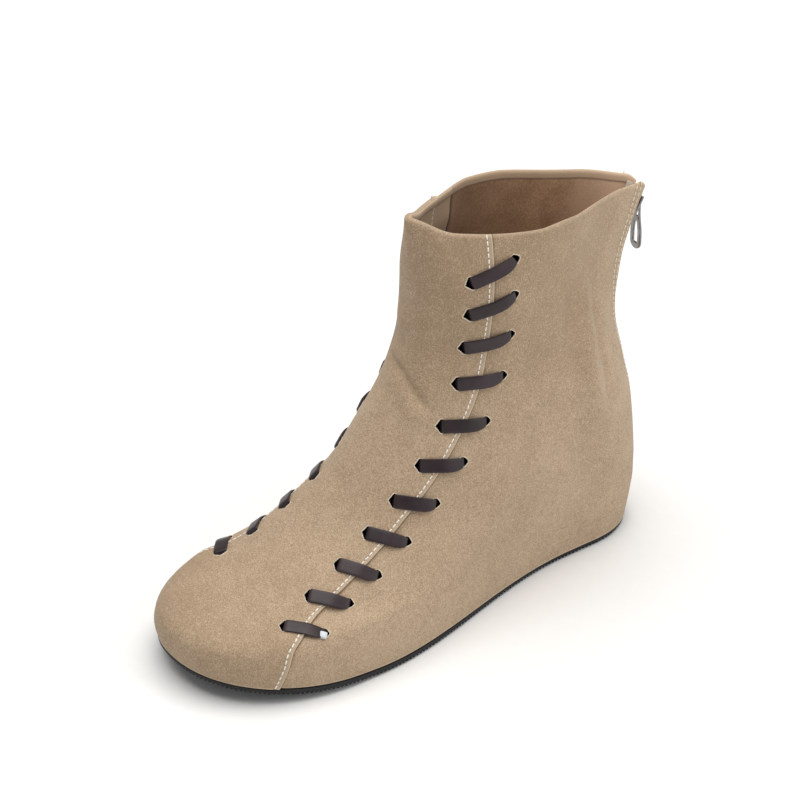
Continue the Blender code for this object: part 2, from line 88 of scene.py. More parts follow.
INNER_FADE = (0.25, 0.35)  # where the inner side's own form starts to fade, and over what length
CORNER_DIP = 4.5        # the collar's drop at the zip
CORNER_FROM = 0.76
CORNER_ROUND, CORNER_DROP = 5.0, 3.0  # rounding of each panel's top corner beside the zip: length and drop
COLLAR_PEAK = 2.5       # rise of the collar's pinched front corner
PEAK_REACH = 0.10       # share of the length over which it falls away
COLLAR_SAG = 3.2        # drop of the slack edges behind that corner
SAG_RISE, SAG_FROM, SAG_FADE = 0.12, 0.17, 0.33  # where it is reached, starts to fade, and over what length

# Plan curve of the last
BALL_Y = -45.0
BALL_SWING = 2.7
BALL_REACH = 70.0
TOE_SWING = 0.2
TOE_REACH = 85.0

# Lacing
BAR_REACH = 11.4
STRIP_WIDE = 6.5
STRIP_THICK = 1.0
HOLE_DEPTH = 3.0        # the holes end between the suede and the lining
HOLE_CLEAR = 5.0        # how far their cutters stand out of the wall
EDGE_OUT, EDGE_THIN, EDGE_MORE = 0.12, 0.08, 0.15  # raw edge: set outward, radius, and more at the far end
FIBRE_FOOT, FIBRE_TIP, FIBRE_LONG = 0.13, 0.03, 0.9
COVER = 2.6             # extra depth of the lining where it covers the strip inside
COVER_HALF, COVER_FADE = 13.0, 9.0  # its half width beside the seam, and how it fades out
COVER_FROM, COVER_RUN = 4.0, 14.0   # where it starts under the collar, and over what length
# Holes at a bar's front and rear end: width, length, shift up the seam, and sharpness of the far end
HOLES = {-1: (6.6, 6.0, 0.1, 0.6), 1: (4.7, 4.8, 1.1, 0.35)}
BARS = (
    (31.7, 12), (51.5, 31), (70.8, 25), (91.1, 25), (111.8, 30), (133.3, 31),
    (154.2, 25), (176.0, 15), (195.2, 12), (214.0, 17), (230.9, 20),
)
INNER_AHEAD = 6.3       # how much further up its seam the inner side's toe bar is, fading out to the top bar
# How much closer to the seam the front and rear ends of the toe bars are than those of the top bars
TOE_SHORT = {-1: 1.0, 1: 3.2}
TOE_SHORT_BARS = (2, 6)  # bars that have all of it, and over how many more it fades out
TOE_HOLE_SHORT = {-1: 1.6, 1: 0.0}  # how much shorter their holes are

TIP_SIZE = (3.6, 3.5, 1.6)  # the strip's tip along the bar, across it and through it
TIP_ROUND = 0.75
TIP_BACK, TIP_DOWN, TIP_OUT = 0.4, 1.6, 0.7  # its set from the middle of the hole

# Zip
ZIP_HALF_GAP = 4.0
ZIP_FOOT_LEVEL = 3.75
TAPE_THICK = 0.8
TAPE_REACH = 11.0       # half width of the tape behind the folded edges
TEETH_PITCH = 1.5
TOOTH_ROUND, TOOTH_HALF, TOOTH_OUT = 0.62, 0.95, 0.75  # radius, half length and set from the middle
CHAIN_OUT = 0.4         # how far the teeth stand out past the folded edges
SLIDER_LEVEL = 8.66
SLIDER_SIZE = (8.2, 1.6, 11.0)
SLIDER_FACE = 20.0      # its flat front is larger than this, in square millimetres
SLIDER_WAIST = 0.72     # width of its lower end as a share of the upper end's
SLIDER_ROUND, SLIDER_RIM, SLIDER_SINK = 0.6, 1.1, 0.25
BAIL_REACH = 2.9
BAIL_WIRE = 0.65
PULL_LONG = 24.0
PULL_WIDE = 7.4
PULL_NECK = 4.6
PULL_THICK = 1.1
PULL_TIP = 4.0
PULL_RISE = 0.55
PULL_PLAY = 0.25
PULL_ROUND = 0.28
WINDOW_HALF, WINDOW_TOP, WINDOW_FOOT = 1.35, 0.75, 6.0
SLOT_RIM, SLOT_FROM, SLOT_TO = 2.3, 0.38, 0.86

# Rings around the last, from the sole edge to the collar
RING_COLUMNS = ("front_y", "front_z", "back_y", "back_z", "ball", "heel", "toe_cap", "heel_cap",
                "toe_power", "heel_power", "outer_seam", "inner_seam", "inner_slim", "inner_rise")
RINGS = (
    ("sole_edge", -131.5, 13.2, 126.7, 3.6, 50.5, 31.8, 66.0, 35.7, 2.15, 2.20, 0.106, 0.124, 0.0, 0.0),
    ("side_wall", -132.5, 20.6, 129.0, 17.0, 50.7, 33.4, 68.5, 38.6, 2.22, 2.20, 0.1215, 0.138, 0.8, 0.5),
    ("toe_turn", -127.6, 29.2, 130.2, 27.5, 49.2, 34.2, 76.0, 39.4, 2.20, 2.20, 0.131, 0.142, 3.5, 3.0),
    ("toe_top", -95.4, 36.0, 130.2, 36.0, 45.5, 34.6, 82.0, 40.0, 2.18, 2.20, 0.102, 0.120, 4.0, 6.0),
    ("vamp", -49.5, 58.2, 129.4, 52.0, 42.0, 35.7, 78.5, 38.8, 2.18, 2.05, 0.107, 0.121, 3.8, 10.5),
    ("low_instep", -26.0, 83.3, 129.6, 68.0, 40.0, 35.6, 76.0, 39.0, 2.20, 1.80, 0.142, 0.154, 3.2, 9.0),
    ("instep", -8.2, 110.3, 127.2, 88.0, 35.6, 35.4, 64.5, 40.6, 2.20, 1.52, 0.174, 0.190, 1.5, 3.0),
    ("throat", 0.0, 135.0, 124.6, 110.0, 32.6, 31.6, 55.0, 46.0, 2.12, 1.36, 0.192, 0.210, 0.0, 0.0),
    ("ankle", 2.8, 163.0, 130.0, 138.0, 33.6, 23.8, 51.2, 56.0, 2.06, 1.30, 0.189, 0.208, 0.0, 0.0),
    ("collar", -0.8, 195.6, 145.5, 177.4, 33.6, 23.2, 56.0, 70.0, 1.28, 1.25, 0.207, 0.226, 5.0, 0.0),
)
BALL_AT, HEEL_AT = 0.30, 0.80
LEVEL_FADE = 3.0
TABLE = np.array([row[1:] for row in RINGS])
TOP_LEVEL = len(RINGS) - 1

# Mesh steps of the wall: distances in millimetres from the seam's edge, the folded edge and the collar
ROW_STEP = 1.75
COLLAR_ROWS = (0.0, 0.25, 0.65, 1.2, 1.9, 2.8, 3.8)
FRONT_COLUMNS = 32
SEAM_COLUMNS = (-3.4, -2.4, -1.5, -0.8, -0.3, 0.0, 0.14, 0.6, 1.3, 2.2, 3.2)
SIDE_COLUMNS = 78
FOLD_COLUMNS = (1.5, 0.8, 0.35, 0.0)
SLIT_COLUMNS = 2
RING_SAMPLES = 600

# Height of the wall across the seam: distance from the edge (front panel negative) and lift
LAP_PROFILE = (
    (-6.0, LAP), (-3.4, LAP), (-2.4, LAP - 0.3), (-1.5, LAP), (-0.8, LAP + 0.05), (-0.3, LAP - 0.05),
    (0.0, LAP - 0.4), (0.14, -0.1), (1.3, -0.1), (3.2, 0.0),
)

# Stitching
STITCH_PITCH = 2.8
STITCH_LONG = 2.1
STITCH_ROUND = 0.33
STITCH_FROM_SEAM = 2.4
ZIP_STITCH_ROWS = (6.0, 10.5)
STITCH_STRAY, STITCH_RISE = 0.06, 0.12  # how far a stitch turns aside, and its height over the suede
STITCH_SEED, FIBRE_SEED = 5, 11


def smooth(t):
    t = np.clip(t, 0.0, 1.0)
    return t * t * (3 - 2 * t)


def row_slopes():
    """Slopes at the table's rows. Only the front line's own curve may pass over its rows."""
    steps = np.diff(TABLE, axis=0)
    slopes = np.zeros_like(TABLE)
    before, after = steps[:-1], steps[1:]
    same_way = before * after > 0
    total = np.where(same_way, before + after, 1.0)
    slopes[1:-1] = np.where(same_way, 2 * before * after / total, 0.0)
    slopes[0] = steps[0]
    slopes[-1] = steps[-1]
    slopes[1:-1, :2] = (before[:, :2] + after[:, :2]) / 2
    return slopes


SLOPES = row_slopes()


def ring(level, grow=0.0):
    """The ring at a level of the table, grown outward on every side by a distance."""
    low = min(int(level), TOP_LEVEL - 1)
    t = level - low
    start = (1 + 2 * t) * (1 - t) ** 2
    end = t * t * (3 - 2 * t)
    values = start * TABLE[low] + end * TABLE[low + 1]
    values = values + t * (1 - t) ** 2 * SLOPES[low] - t * t * (1 - t) * SLOPES[low + 1]
    found = dict(zip(RING_COLUMNS, values))
    found["front_y"] -= grow
    found["back_y"] += grow
    found["level"] = level
    for size in ("ball", "heel", "toe_cap", "heel_cap"):
        found[size] += grow
    return found


def round_end(share, power):
    """Rises from 0 to 1 along a rounded end."""
    return (1 - (1 - np.clip(share, 0.0, 1.0)) ** power) ** (1 / power)


def front_share(u):
    """1 along the front of the boot and 0 towards the heel."""
    return 1 - smooth((u - INNER_FADE[0]) / INNER_FADE[1])


def half_width(r, u, side):
    length = r["back_y"] - r["front_y"]
    wide = r["ball"] + (r["heel"] - r["ball"]) * smooth((u - BALL_AT) / (HEEL_AT - BALL_AT))
    if side < 0:
        hollow = np.exp(-((u - WAIST_AT) / WAIST_SPAN) ** 2)
        wide = wide - WAIST_INSET * hollow * (1 - smooth(r["level"] / WAIST_TOP))
        wide = wide - r["inner_slim"] * front_share(u)
    toe = round_end(u * length / r["toe_cap"], r["toe_power"])
    heel = round_end((1 - u) * length / r["heel_cap"], r["heel_power"])
    return wide * toe * heel


def centre_x(y):
    """Sideways set of the last's middle line."""
    ball = BALL_SWING * np.exp(-((y - BALL_Y) / BALL_REACH) ** 2)
    toe = TOE_SWING * np.clip((BALL_Y - y) / TOE_REACH, 0.0, 1.2) ** 2
    return ball + toe


def ring_points(r, u, side):
    """Points of a ring at shares u of its length, on the outer (1) or the inner (-1) side of the foot."""
    u = np.asarray(u, dtype=float)
    y = r["front_y"] + (r["back_y"] - r["front_y"]) * u
    fade = smooth(r["level"] / LEVEL_FADE)
    flat_sole = np.maximum((FLAT_FROM - u) / FLAT_FROM, 0.0) ** SPRING_POWER
    slope = 1 - 0.5 * (u + smooth(u))
    z = r["back_z"] + (r["front_z"] - r["back_z"]) * ((1 - fade) * flat_sole + fade * slope)
    wide = half_width(r, u, side)
    if side < 0:
        z = z + r["inner_rise"] * front_share(u) * wide / r["ball"]
    at_zip = smooth((u - CORNER_FROM) / (1 - CORNER_FROM))
    peak = COLLAR_PEAK * (1 - smooth(u / PEAK_REACH))
    sag = COLLAR_SAG * smooth(u / SAG_RISE) * (1 - smooth((u - SAG_FROM) / SAG_FADE))
    z = z + (peak - sag - CORNER_DIP * at_zip) * smooth(r["level"] - TOP_LEVEL + 1)
    x = centre_x(y) + side * wide
    return np.stack([x - CENTRE[0], y - CENTRE[1], z], axis=-1)


def unit(vectors):
    """Vectors along the last axis, scaled to length 1."""
    return vectors / np.linalg.norm(vectors, axis=-1, keepdims=True)


def steps_between(points):
    """Running distance along points."""
    steps = np.linalg.norm(np.diff(points, axis=0), axis=-1)
    return np.concatenate([[0.0], np.cumsum(steps)])


# The wall as a grid of places

def wall_levels():
    """Ring levels of the wall's rows, evenly apart and closer together under the collar."""
    fine = np.linspace(0, TOP_LEVEL, 900)
    tracks = [np.array([ring_points(ring(v), u, 1) for v in fine]) for u in (0.0, 0.35, 1.0)]
    steps = np.max([np.linalg.norm(np.diff(t, axis=0), axis=1) for t in tracks], axis=0)
    run = np.concatenate([[0.0], np.cumsum(steps)])
    collar = run[-1] - np.array(COLLAR_ROWS)[::-1]
    count = round(collar[0] / ROW_STEP)
    below = np.linspace(0.0, collar[0], count + 1)[:-1]
    return np.interp(np.concatenate([below, collar]), run, fine)


def seam_share(r, side):
    return r["outer_seam" if side > 0 else "inner_seam"]


def side_track(level, side):
    """Columns of one side of a ring, from the front centre to the back centre, with their distances."""
    r = ring(level)
    u = 0.5 - 0.5 * np.cos(np.pi * np.linspace(0, 1, RING_SAMPLES))
    run = steps_between(ring_points(r, u, side))
    seam = np.interp(seam_share(r, side), u, run)
    wide = half_width(r, u, side)
    back = u > HEEL_AT
    fold = np.interp(-ZIP_HALF_GAP, -wide[back], run[back])
    places = np.concatenate([
        np.linspace(0.0, seam + SEAM_COLUMNS[0], FRONT_COLUMNS + 1)[:-1],
        seam + np.array(SEAM_COLUMNS),
        np.linspace(seam + SEAM_COLUMNS[-1], fold - FOLD_COLUMNS[0], SIDE_COLUMNS + 1)[1:],
        fold - np.array(FOLD_COLUMNS[1:]),
        np.linspace(fold, run[-1], SLIT_COLUMNS + 1)[1:],
    ])
    points = ring_points(r, np.interp(places, run, u), side)
    edge = points[-SLIT_COLUMNS - 1]
    to_middle = np.array([centre_x(edge[1] + CENTRE[1]) - CENTRE[0] - edge[0], 0.0, 0.0])
    for k in range(SLIT_COLUMNS + 1):
        points[k - SLIT_COLUMNS - 1] = edge + to_middle * k / SLIT_COLUMNS
    return points, places - seam, fold - places


def wall_grid():
    """Places of the wall from the back centre round the inner side, the front and the outer side."""
    found = {"place": [], "from_seam": [], "from_fold": []}
    for level in LEVELS:
        inner = side_track(level, -1)
        outer = side_track(level, 1)
        for key, a, b in zip(found, inner, outer):
            found[key].append(np.concatenate([a[::-1], b[1:]]))
    grid = {key: np.array(rows) for key, rows in found.items()}
    place = grid["place"]
    rise = np.linalg.norm(np.diff(place, axis=0), axis=-1)
    down = np.cumsum(rise[::-1], axis=0)[::-1]
    grid["from_collar"] = np.concatenate([down, np.zeros((1, place.shape[1]))])
    grid["from_sole"] = np.concatenate([np.zeros((1, place.shape[1])), np.cumsum(rise, axis=0)])
    at_corner = np.clip(1 - grid["from_fold"] / CORNER_ROUND, 0.0, 1.0) ** 2
    place[..., 2] -= CORNER_DROP * at_corner * smooth(1 - grid["from_collar"] / 12.0)
    grid["normal"] = grid_normals(place)
    return grid


def grid_normals(place):
    """Outward directions of the wall. The lowest row's are level, so that the sole edge stays flat,
    and those of the folded edges beside the zip are their own panel's."""
    along = np.empty_like(place)
    along[:, 1:-1] = place[:, 2:] - place[:, :-2]
    along[:, 0] = place[:, 1] - place[:, -2]
    along[:, -1] = along[:, 0]
    slit = LEVELS >= ZIP_FOOT_LEVEL
    along[slit, SLIT_COLUMNS] = place[slit, SLIT_COLUMNS + 1] - place[slit, SLIT_COLUMNS]
    along[slit, -SLIT_COLUMNS - 1] = place[slit, -SLIT_COLUMNS - 1] - place[slit, -SLIT_COLUMNS - 2]
    normal = np.cross(along, np.gradient(place, axis=0))
    for row, share in ((0, 0.0), (1, 0.4), (2, 0.8)):
        normal[row, :, 2] *= share
    return unit(normal)


LEVELS = wall_levels()
GRID = wall_grid()
ROWS, COLUMNS = GRID["place"].shape[:2]
ZIP_FOOT = int(np.searchsorted(LEVELS, ZIP_FOOT_LEVEL))


def surface_tree(places):
    """A grid of places on the wall as a surface to measure on."""
    starts = [i * COLUMNS + j for i in range(ROWS - 1) for j in range(COLUMNS - 1)]
    faces = [(a, a + 1, a + COLUMNS + 1, a + COLUMNS) for a in starts]
    return BVHTree.FromPolygons([Vector(p) for p in places.reshape(-1, 3)], faces)


LAST = surface_tree(GRID["place"])


# Modelling by hand

def deselect():
    bpy.ops.object.select_all(action="DESELECT")


def pick(piece):
    deselect()
    piece.select_set(True)
    bpy.context.view_layer.objects.active = piece


def start_edit(piece, select="FACE"):
    pick(piece)
    bpy.ops.object.mode_set(mode="EDIT")
    bpy.ops.mesh.select_mode(type=select)


def edit_faces(piece, chosen):
    """Starts to edit a piece with only the chosen faces selected."""
    for part in (piece.data.vertices, piece.data.edges):
        part.foreach_set("select", np.zeros(len(part), dtype=bool))
    piece.data.polygons.foreach_set("select", chosen)
    start_edit(piece)


def end_edit():
    bpy.ops.object.mode_set(mode="OBJECT")


def name_piece(name):
    piece = bpy.context.object
    piece.name = name
    piece.data.name = name
    return piece


def set_places(piece, places):
    piece.data.vertices.foreach_set("co", (np.asarray(places).reshape(-1) * MM).astype(np.float32))
    piece.data.update()


def get_places(piece):
    flat = np.empty(len(piece.data.vertices) * 3, np.float32)
    piece.data.vertices.foreach_get("co", flat)
    return flat.reshape(-1, 3) / MM


def grid_sheet(name, places):
    """A grid primitive with a vertex at each place of an array of rows and columns."""
    rows, columns = places.shape[:2]
    deselect()
    bpy.ops.mesh.primitive_grid_add(x_subdivisions=columns - 1, y_subdivisions=rows - 1, size=1)
    sheet = name_piece(name)
    set_places(sheet, places)
    return sheet


def close_up(piece, fill=True):
    """Merges doubles, fills open ends and turns the faces outward."""
    start_edit(piece, "VERT")
    bpy.ops.mesh.select_all(action="SELECT")
    bpy.ops.mesh.remove_doubles(threshold=MERGE)
    if fill:
        bpy.ops.mesh.select_all(action="SELECT")
        bpy.ops.mesh.fill_holes(sides=0)
    bpy.ops.mesh.select_all(action="SELECT")
    bpy.ops.mesh.normals_make_consistent(inside=False)
    end_edit()


def loft(name, sections, fill=True):
    """A closed body through sections that are loops of equal length."""
    sections = np.asarray(sections)
    around = np.concatenate([sections, sections[:, :1]], axis=1)
    body = grid_sheet(name, around)
    close_up(body, fill)
    return body


def modify(piece, kind, **settings):
    """Adds a modifier with its settings and applies it."""
    pick(piece)
    step = piece.modifiers.new(kind.lower(), kind)
    for key, value in settings.items():
        setattr(step, key, value)
    bpy.ops.object.modifier_apply(modifier=step.name)


def shade(piece, angle=40):
    pick(piece)
    bpy.ops.object.shade_smooth_by_angle(angle=math.radians(angle))


def remove(piece):
    bpy.data.objects.remove(piece)


def join(name, pieces):
    pick(pieces[0])
    for piece in pieces[1:]:
        piece.select_set(True)
    bpy.ops.object.join()
    return name_piece(name)


def strew(name, pattern, spots):
    """Copies a small pattern to many spots in one mesh. A spot is a place and its three directions."""
    shape = get_places(pattern)
    corners = [tuple(face.vertices) for face in pattern.data.polygons]
    points = []
    faces = []
    for place, axes in spots:
        start = len(points)
        points.extend(((shape @ np.asarray(axes) + place) * MM).tolist())
        faces.extend(tuple(start + v for v in face) for face in corners)
    mesh = bpy.data.meshes.new(name)
    mesh.from_pydata(points, [], faces)
    piece = bpy.data.objects.new(name, mesh)
    bpy.context.scene.collection.objects.link(piece)
    remove(pattern)
    return piece


def dress(piece, finish, body="boot", node=None):
    """Gives a finished piece its material, its body and the node that it stands for."""
    if finish is not None:
        piece.data.materials.clear()
        piece.data.materials.append(finish)
    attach(piece, body)
    if node:
        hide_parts(node)
    return piece


# Finishes

SUEDE_DARK = (0.30, 0.210, 0.130)
SUEDE_LIGHT = (0.53, 0.400, 0.278)
SUEDE_PALE = (0.66, 0.54, 0.41)


class Value:
    """A socket in a finish, with Python's operators for its maths."""

    def __init__(self, finish, socket):
        self.finish = finish
        self.socket = socket

    def maths(self, operation, first, second=0.0):
        return self.finish.node("Math", {"operation": operation}, {0: first, 1: second})

    def __add__(self, other):
        return self.maths("ADD", self, other)

    def __sub__(self, other):
        return self.maths("SUBTRACT", self, other)

    def __rsub__(self, other):
        return self.maths("SUBTRACT", other, self)

    def __mul__(self, other):
        return self.maths("MULTIPLY", self, other)

    def __truediv__(self, other):
        return self.maths("DIVIDE", self, other)

    def __abs__(self):
        return self.maths("ABSOLUTE", self)

    def __mod__(self, other):
        return self.maths("FLOORED_MODULO", self, other)

    __radd__ = __add__
    __rmul__ = __mul__

    def rise(self, low, high):
        """0 below low, 1 above high, soft between."""
        settings = {"interpolation_type": "SMOOTHSTEP"}
        return self.finish.node("MapRange", settings, {"Value": self, "From Min": low, "From Max": high})


class Finish:
    """A material whose nodes are written as expressions."""

    def __init__(self, name, **constants):
        self.material = bpy.data.materials.new(name)
        self.material.use_nodes = True
        self.tree = self.material.node_tree
        self.shader = self.tree.nodes["Principled BSDF"]
        for socket, value in constants.items():
            self.shader.inputs[socket.replace("_", " ")].default_value = value
        self.where = self.node("TexCoord", output="Object")

    def node(self, kind, settings=None, sockets=None, output=0):
        made = self.tree.nodes.new("ShaderNode" + kind)
        for key, value in (settings or {}).items():
            setattr(made, key, value)
        for key, value in (sockets or {}).items():
            self.plug(made.inputs[key], value)
        return Value(self, made.outputs[output])

    def plug(self, socket, value):
        if isinstance(value, Value):
            self.tree.links.new(value.socket, socket)
        else:
            socket.default_value = value

    def noise(self, size, detail=2.0, where=None, rough=0.55):
        """Noise with features of a size in millimetres."""
        sockets = {"Vector": where or self.where, "Scale": 1 / (size * MM)}
        sockets.update({"Detail": detail, "Roughness": rough})
        return self.node("TexNoise", None, sockets)

    def stretched(self, scale):
        return self.node("Mapping", None, {"Vector": self.where, "Scale": scale})

    def mix(self, share, first, second):
        sockets = {0: share, 6: colour(first), 7: colour(second)}
        return self.node("Mix", {"data_type": "RGBA"}, sockets, output=2)

    def mark(self, name):
        """The two distances kept in a map of the piece, in metres."""
        both = self.node("UVMap", {"uv_map": name})
        apart = self.tree.nodes.new("ShaderNodeSeparateXYZ")
        self.plug(apart.inputs[0], both)
        return Value(self, apart.outputs[0]), Value(self, apart.outputs[1])

    def finish(self, base, roughness, height=None, strength=0.4, depth=0.3, **more):
        self.plug(self.shader.inputs["Base Color"], colour(base))
        self.plug(self.shader.inputs["Roughness"], roughness)
        for socket, value in more.items():
            self.plug(self.shader.inputs[socket.replace("_", " ")], value)
        if height is not None:
            sockets = {"Strength": strength, "Distance": depth * MM, "Height": height}
            self.plug(self.shader.inputs["Normal"], self.node("Bump", None, sockets))
        return self.material


def colour(value):
    return value if isinstance(value, Value) else (*value[:3], 1.0)


def suede_finish():
    """Brushed suede: fine nap specks over soft clouds, paler where its edges are folded or cut, with painted
    shade on the shaft, low on the toe, beside the front panel's edge, along the zip's stitch rows and in the
    creases' troughs.
    """
    f = Finish("tan_suede", Sheen_Weight=0.12, Sheen_Roughness=0.5, Specular_IOR_Level=0.2)
    speck = f.noise(0.55, 2.0)
    nap = f.noise(1.8, 3.0)
    blotch = f.noise(10.0, 3.0)
    cloud = f.noise(45.0, 2.0)
    from_seam, from_sole = (mark / MM for mark in f.mark("seam_marks"))
    from_collar, from_fold = (mark / MM for mark in f.mark("edge_marks"))
    # painted shade: the shaft's wall drawn darker, away from the collar and the zip
    shaft_shade = (1 - from_collar.rise(40.0, 110.0)) * from_fold.rise(15.0, 45.0)
    # painted shade: the front panel drawn darker low down, near the sole
    toe_foot_shade = (1 - from_sole.rise(20.0, 60.0)) * (1 - from_seam.rise(-6.0, 6.0))
    tone = 0.5 + (speck - 0.5) * 2.2 + (nap - 0.5) * 0.5 + (blotch - 0.5) * 0.3 + (cloud - 0.5) * 0.5
    tone = tone - shaft_shade * 0.2 - toe_foot_shade * 0.22
    base = f.mix(tone.rise(0.0, 1.0), SUEDE_DARK, SUEDE_LIGHT)
    hem = from_seam.rise(-2.5, -1.9) * (1 - from_seam.rise(-0.05, 0.05))
    lip = from_seam.rise(-0.75, -0.3) * (1 - from_seam.rise(-0.05, 0.1))
    gutter_shadow = from_seam.rise(-0.05, 0.1) * (1 - from_seam.rise(0.2, 1.3))
    cut_edge = 1 - from_sole.rise(0.2, 1.0)
    rim = 1 - from_collar.rise(0.4, 2.2)
    base = f.mix(hem * 0.22, base, SUEDE_PALE)
    base = f.mix(lip * 0.45, base, SUEDE_PALE)
    base = f.mix(rim * 0.12, base, SUEDE_PALE)
    base = f.mix(cut_edge * 0.5, base, SUEDE_PALE)
    # painted shadow of the front panel's edge on the side panel just beyond it
    base = f.mix(gutter_shadow * 0.55, base, (0.12, 0.075, 0.045))
    near, far = (1 - abs(from_fold - at).rise(0.3, 0.9) for at in ZIP_STITCH_ROWS)
    groove_and_shade = (near + far) * from_sole.rise(60.0, 64.0)
    # painted shade in the grooves of the zip's stitch rows; the same mask also sinks them in the bump
    base = f.mix(groove_and_shade * 0.25, base, (0.16, 0.10, 0.06))
    fold, _ = (mark / MM for mark in f.mark("fold_marks"))
    # painted shade in the creases' troughs
    base = f.mix((1 - fold.rise(-2.4, -0.5)) * 0.3, base, SUEDE_DARK)
    height = speck * 0.8 + nap * 0.35 - groove_and_shade * 1.5
    return f.finish(base, 0.92 + (speck - 0.5) * 0.1, height, strength=0.4, depth=0.3)


def lining_finish():
    """Brown fleecy lining, with the front panel's paler back showing up to its inside edge, painted shade
    towards the front seam and under the folded facing, and painted light towards the zip.
    """
    f = Finish("brown_lining", Sheen_Weight=0.08, Specular_IOR_Level=0.15)
    pile = f.noise(0.9, 3.0)
    cloud = f.noise(14.0, 3.0)
    tone = 0.5 + (pile - 0.5) * 1.2 + (cloud - 0.5) * 1.1
    base = f.mix(tone.rise(0.0, 1.0), (0.27, 0.155, 0.085), (0.50, 0.315, 0.19))
    from_seam, from_sole = (mark / MM for mark in f.mark("seam_marks"))
    from_collar, from_fold = (mark / MM for mark in f.mark("edge_marks"))
    # painted shade: the lining darker towards the front seam
    base = f.mix((1 - from_seam.rise(14.0, 70.0)) * 0.5, base, (0.13, 0.072, 0.04))
    # painted light: the lining paler towards the zip, where light falls inside
    base = f.mix((1 - from_fold.rise(4.0, 40.0)) * 0.8, base, (0.78, 0.57, 0.42))
    front = 1 - from_seam.rise(12.0, 12.6)
    edge = from_seam.rise(12.2, 12.6) * (1 - from_seam.rise(12.8, 15.0))
    facing = 1 - from_collar.rise(3.6, 4.4)
    line = from_collar.rise(3.4, 3.8) * (1 - from_collar.rise(4.0, 5.2))
    base = f.mix(front * 0.7, base, (0.52, 0.39, 0.27))
    base = f.mix(edge * 0.85, base, (0.08, 0.05, 0.035))
    dash = (1 - abs(from_seam + STITCH_FROM_SEAM).rise(0.3, 0.5)) * (from_sole % STITCH_PITCH).rise(0.7, 0.9)
    base = f.mix(dash * 0.8, base, (0.80, 0.74, 0.64))
    base = f.mix(facing * 0.7, base, SUEDE_LIGHT)
    # painted shadow under the folded facing, along the collar
    base = f.mix(line * 0.6, base, (0.12, 0.075, 0.05))
    return f.finish(base, 0.95, pile * 0.7 + cloud * 0.5, strength=0.5, depth=0.4)


def hole_finish():
    """Painted shade on the cut walls of a lace hole, drawn near black as if too dark to see into."""
    f = Finish("hole_shade", Specular_IOR_Level=0.0)
    depth = f.noise(1.0, 2.0)
    return f.finish(f.mix(depth, (0.004, 0.003, 0.002), (0.014, 0.009, 0.006)), 1.0)


def strip_finish():
    """Dark semi-gloss strip with a fine leather grain."""
    f = Finish("strip_leather", Coat_Roughness=0.3, Specular_IOR_Level=0.32)
    grain = f.noise(0.5, 3.0)
    fade = f.noise(14.0, 2.0)
    base = f.mix(fade.rise(0.3, 0.7), (0.019, 0.0105, 0.0125), (0.035, 0.0212, 0.0248))
    roughness = 0.40 + (grain - 0.5) * 0.2
    return f.finish(base, roughness, grain, 0.15, 0.15, Coat_Weight=fade * 0.12)


def rubber_finish():
    f = Finish("black_rubber", Specular_IOR_Level=0.4)
    pebble = f.noise(0.5, 3.0)
    dust = f.noise(6.0, 3.0)
    base = f.mix(dust.rise(0.45, 0.8) * 0.5, (0.005, 0.005, 0.006), (0.022, 0.021, 0.022))
    return f.finish(base, 0.62 + (dust - 0.5) * 0.2, pebble, 0.35, 0.2)


def insole_finish():
    f = Finish("insole_cloth", Sheen_Weight=0.1)
    weave = f.noise(0.6, 2.0, f.stretched((1.0, 3.0, 1.0)))
    worn = f.noise(25.0, 2.0)
    base = f.mix(worn.rise(0.3, 0.7), (0.20, 0.135, 0.09), (0.29, 0.205, 0.145))
    return f.finish(base, 0.93, weave, 0.5, 0.3)


def thread_finish(name, dark, light):
    f = Finish(name, Sheen_Weight=0.2)
    twist = f.noise(0.35, 2.0)
    base = f.mix(twist.rise(0.25, 0.75), dark, light)
    return f.finish(base, 0.7 + (twist - 0.5) * 0.2, twist, 0.4, 0.1)


def plastic_finish(name, size, dark, light, roughness):
    f = Finish(name, Specular_IOR_Level=0.5)
    haze = f.noise(size, 2.0)
    return f.finish(f.mix(haze, dark, light), roughness + (haze - 0.5) * 0.2)


def tape_finish():
    f = Finish("zip_tape_weave", Sheen_Weight=0.1)
    ribs = f.noise(0.5, 1.0, f.stretched((4.0, 1.0, 1.0)))
    fade = f.noise(6.0, 2.0)
    base = f.mix(fade, (0.62, 0.55, 0.45), (0.78, 0.73, 0.65))
    return f.finish(base, 0.88, ribs, 0.6, 0.25)


def metal_finish():
    f = Finish("zip_nickel", Metallic=1.0)
    haze = f.noise(2.5, 3.0)
    brush = f.noise(0.5, 2.0, f.stretched((6.0, 1.0, 1.0)))
    # painted reflection: the base colour is kept dark to stand in for the dark boot mirrored in the metal
    base = f.mix(haze, (0.14, 0.133, 0.128), (0.32, 0.31, 0.305))
    return f.finish(base, 0.14 + (haze - 0.5) * 0.12, brush, 0.08, 0.05)


FINISHES = {
    "suede": suede_finish(),
    "lining": lining_finish(),
    "hole": hole_finish(),
    "strip": strip_finish(),
    "rubber": rubber_finish(),
    "insole": insole_finish(),
    "white_thread": thread_finish("white_thread", (0.78, 0.74, 0.68), (0.96, 0.94, 0.90)),
    "tan_thread": thread_finish("tan_thread", (0.66, 0.56, 0.42), (0.88, 0.79, 0.64)),
    "fray": thread_finish("cut_fibres", (0.58, 0.47, 0.34), (0.84, 0.76, 0.62)),
    "tip": plastic_finish("strip_tip_plastic", 1.5, (0.52, 0.56, 0.60), (0.66, 0.69, 0.72), 0.35),
    "tape": tape_finish(),
    "coil": plastic_finish("zip_coil_nylon", 3.0, (0.50, 0.42, 0.32), (0.70, 0.62, 0.50), 0.42),
    "metal": metal_finish(),
}


# Creases of the wall, as troughs and ridges along short lines on it

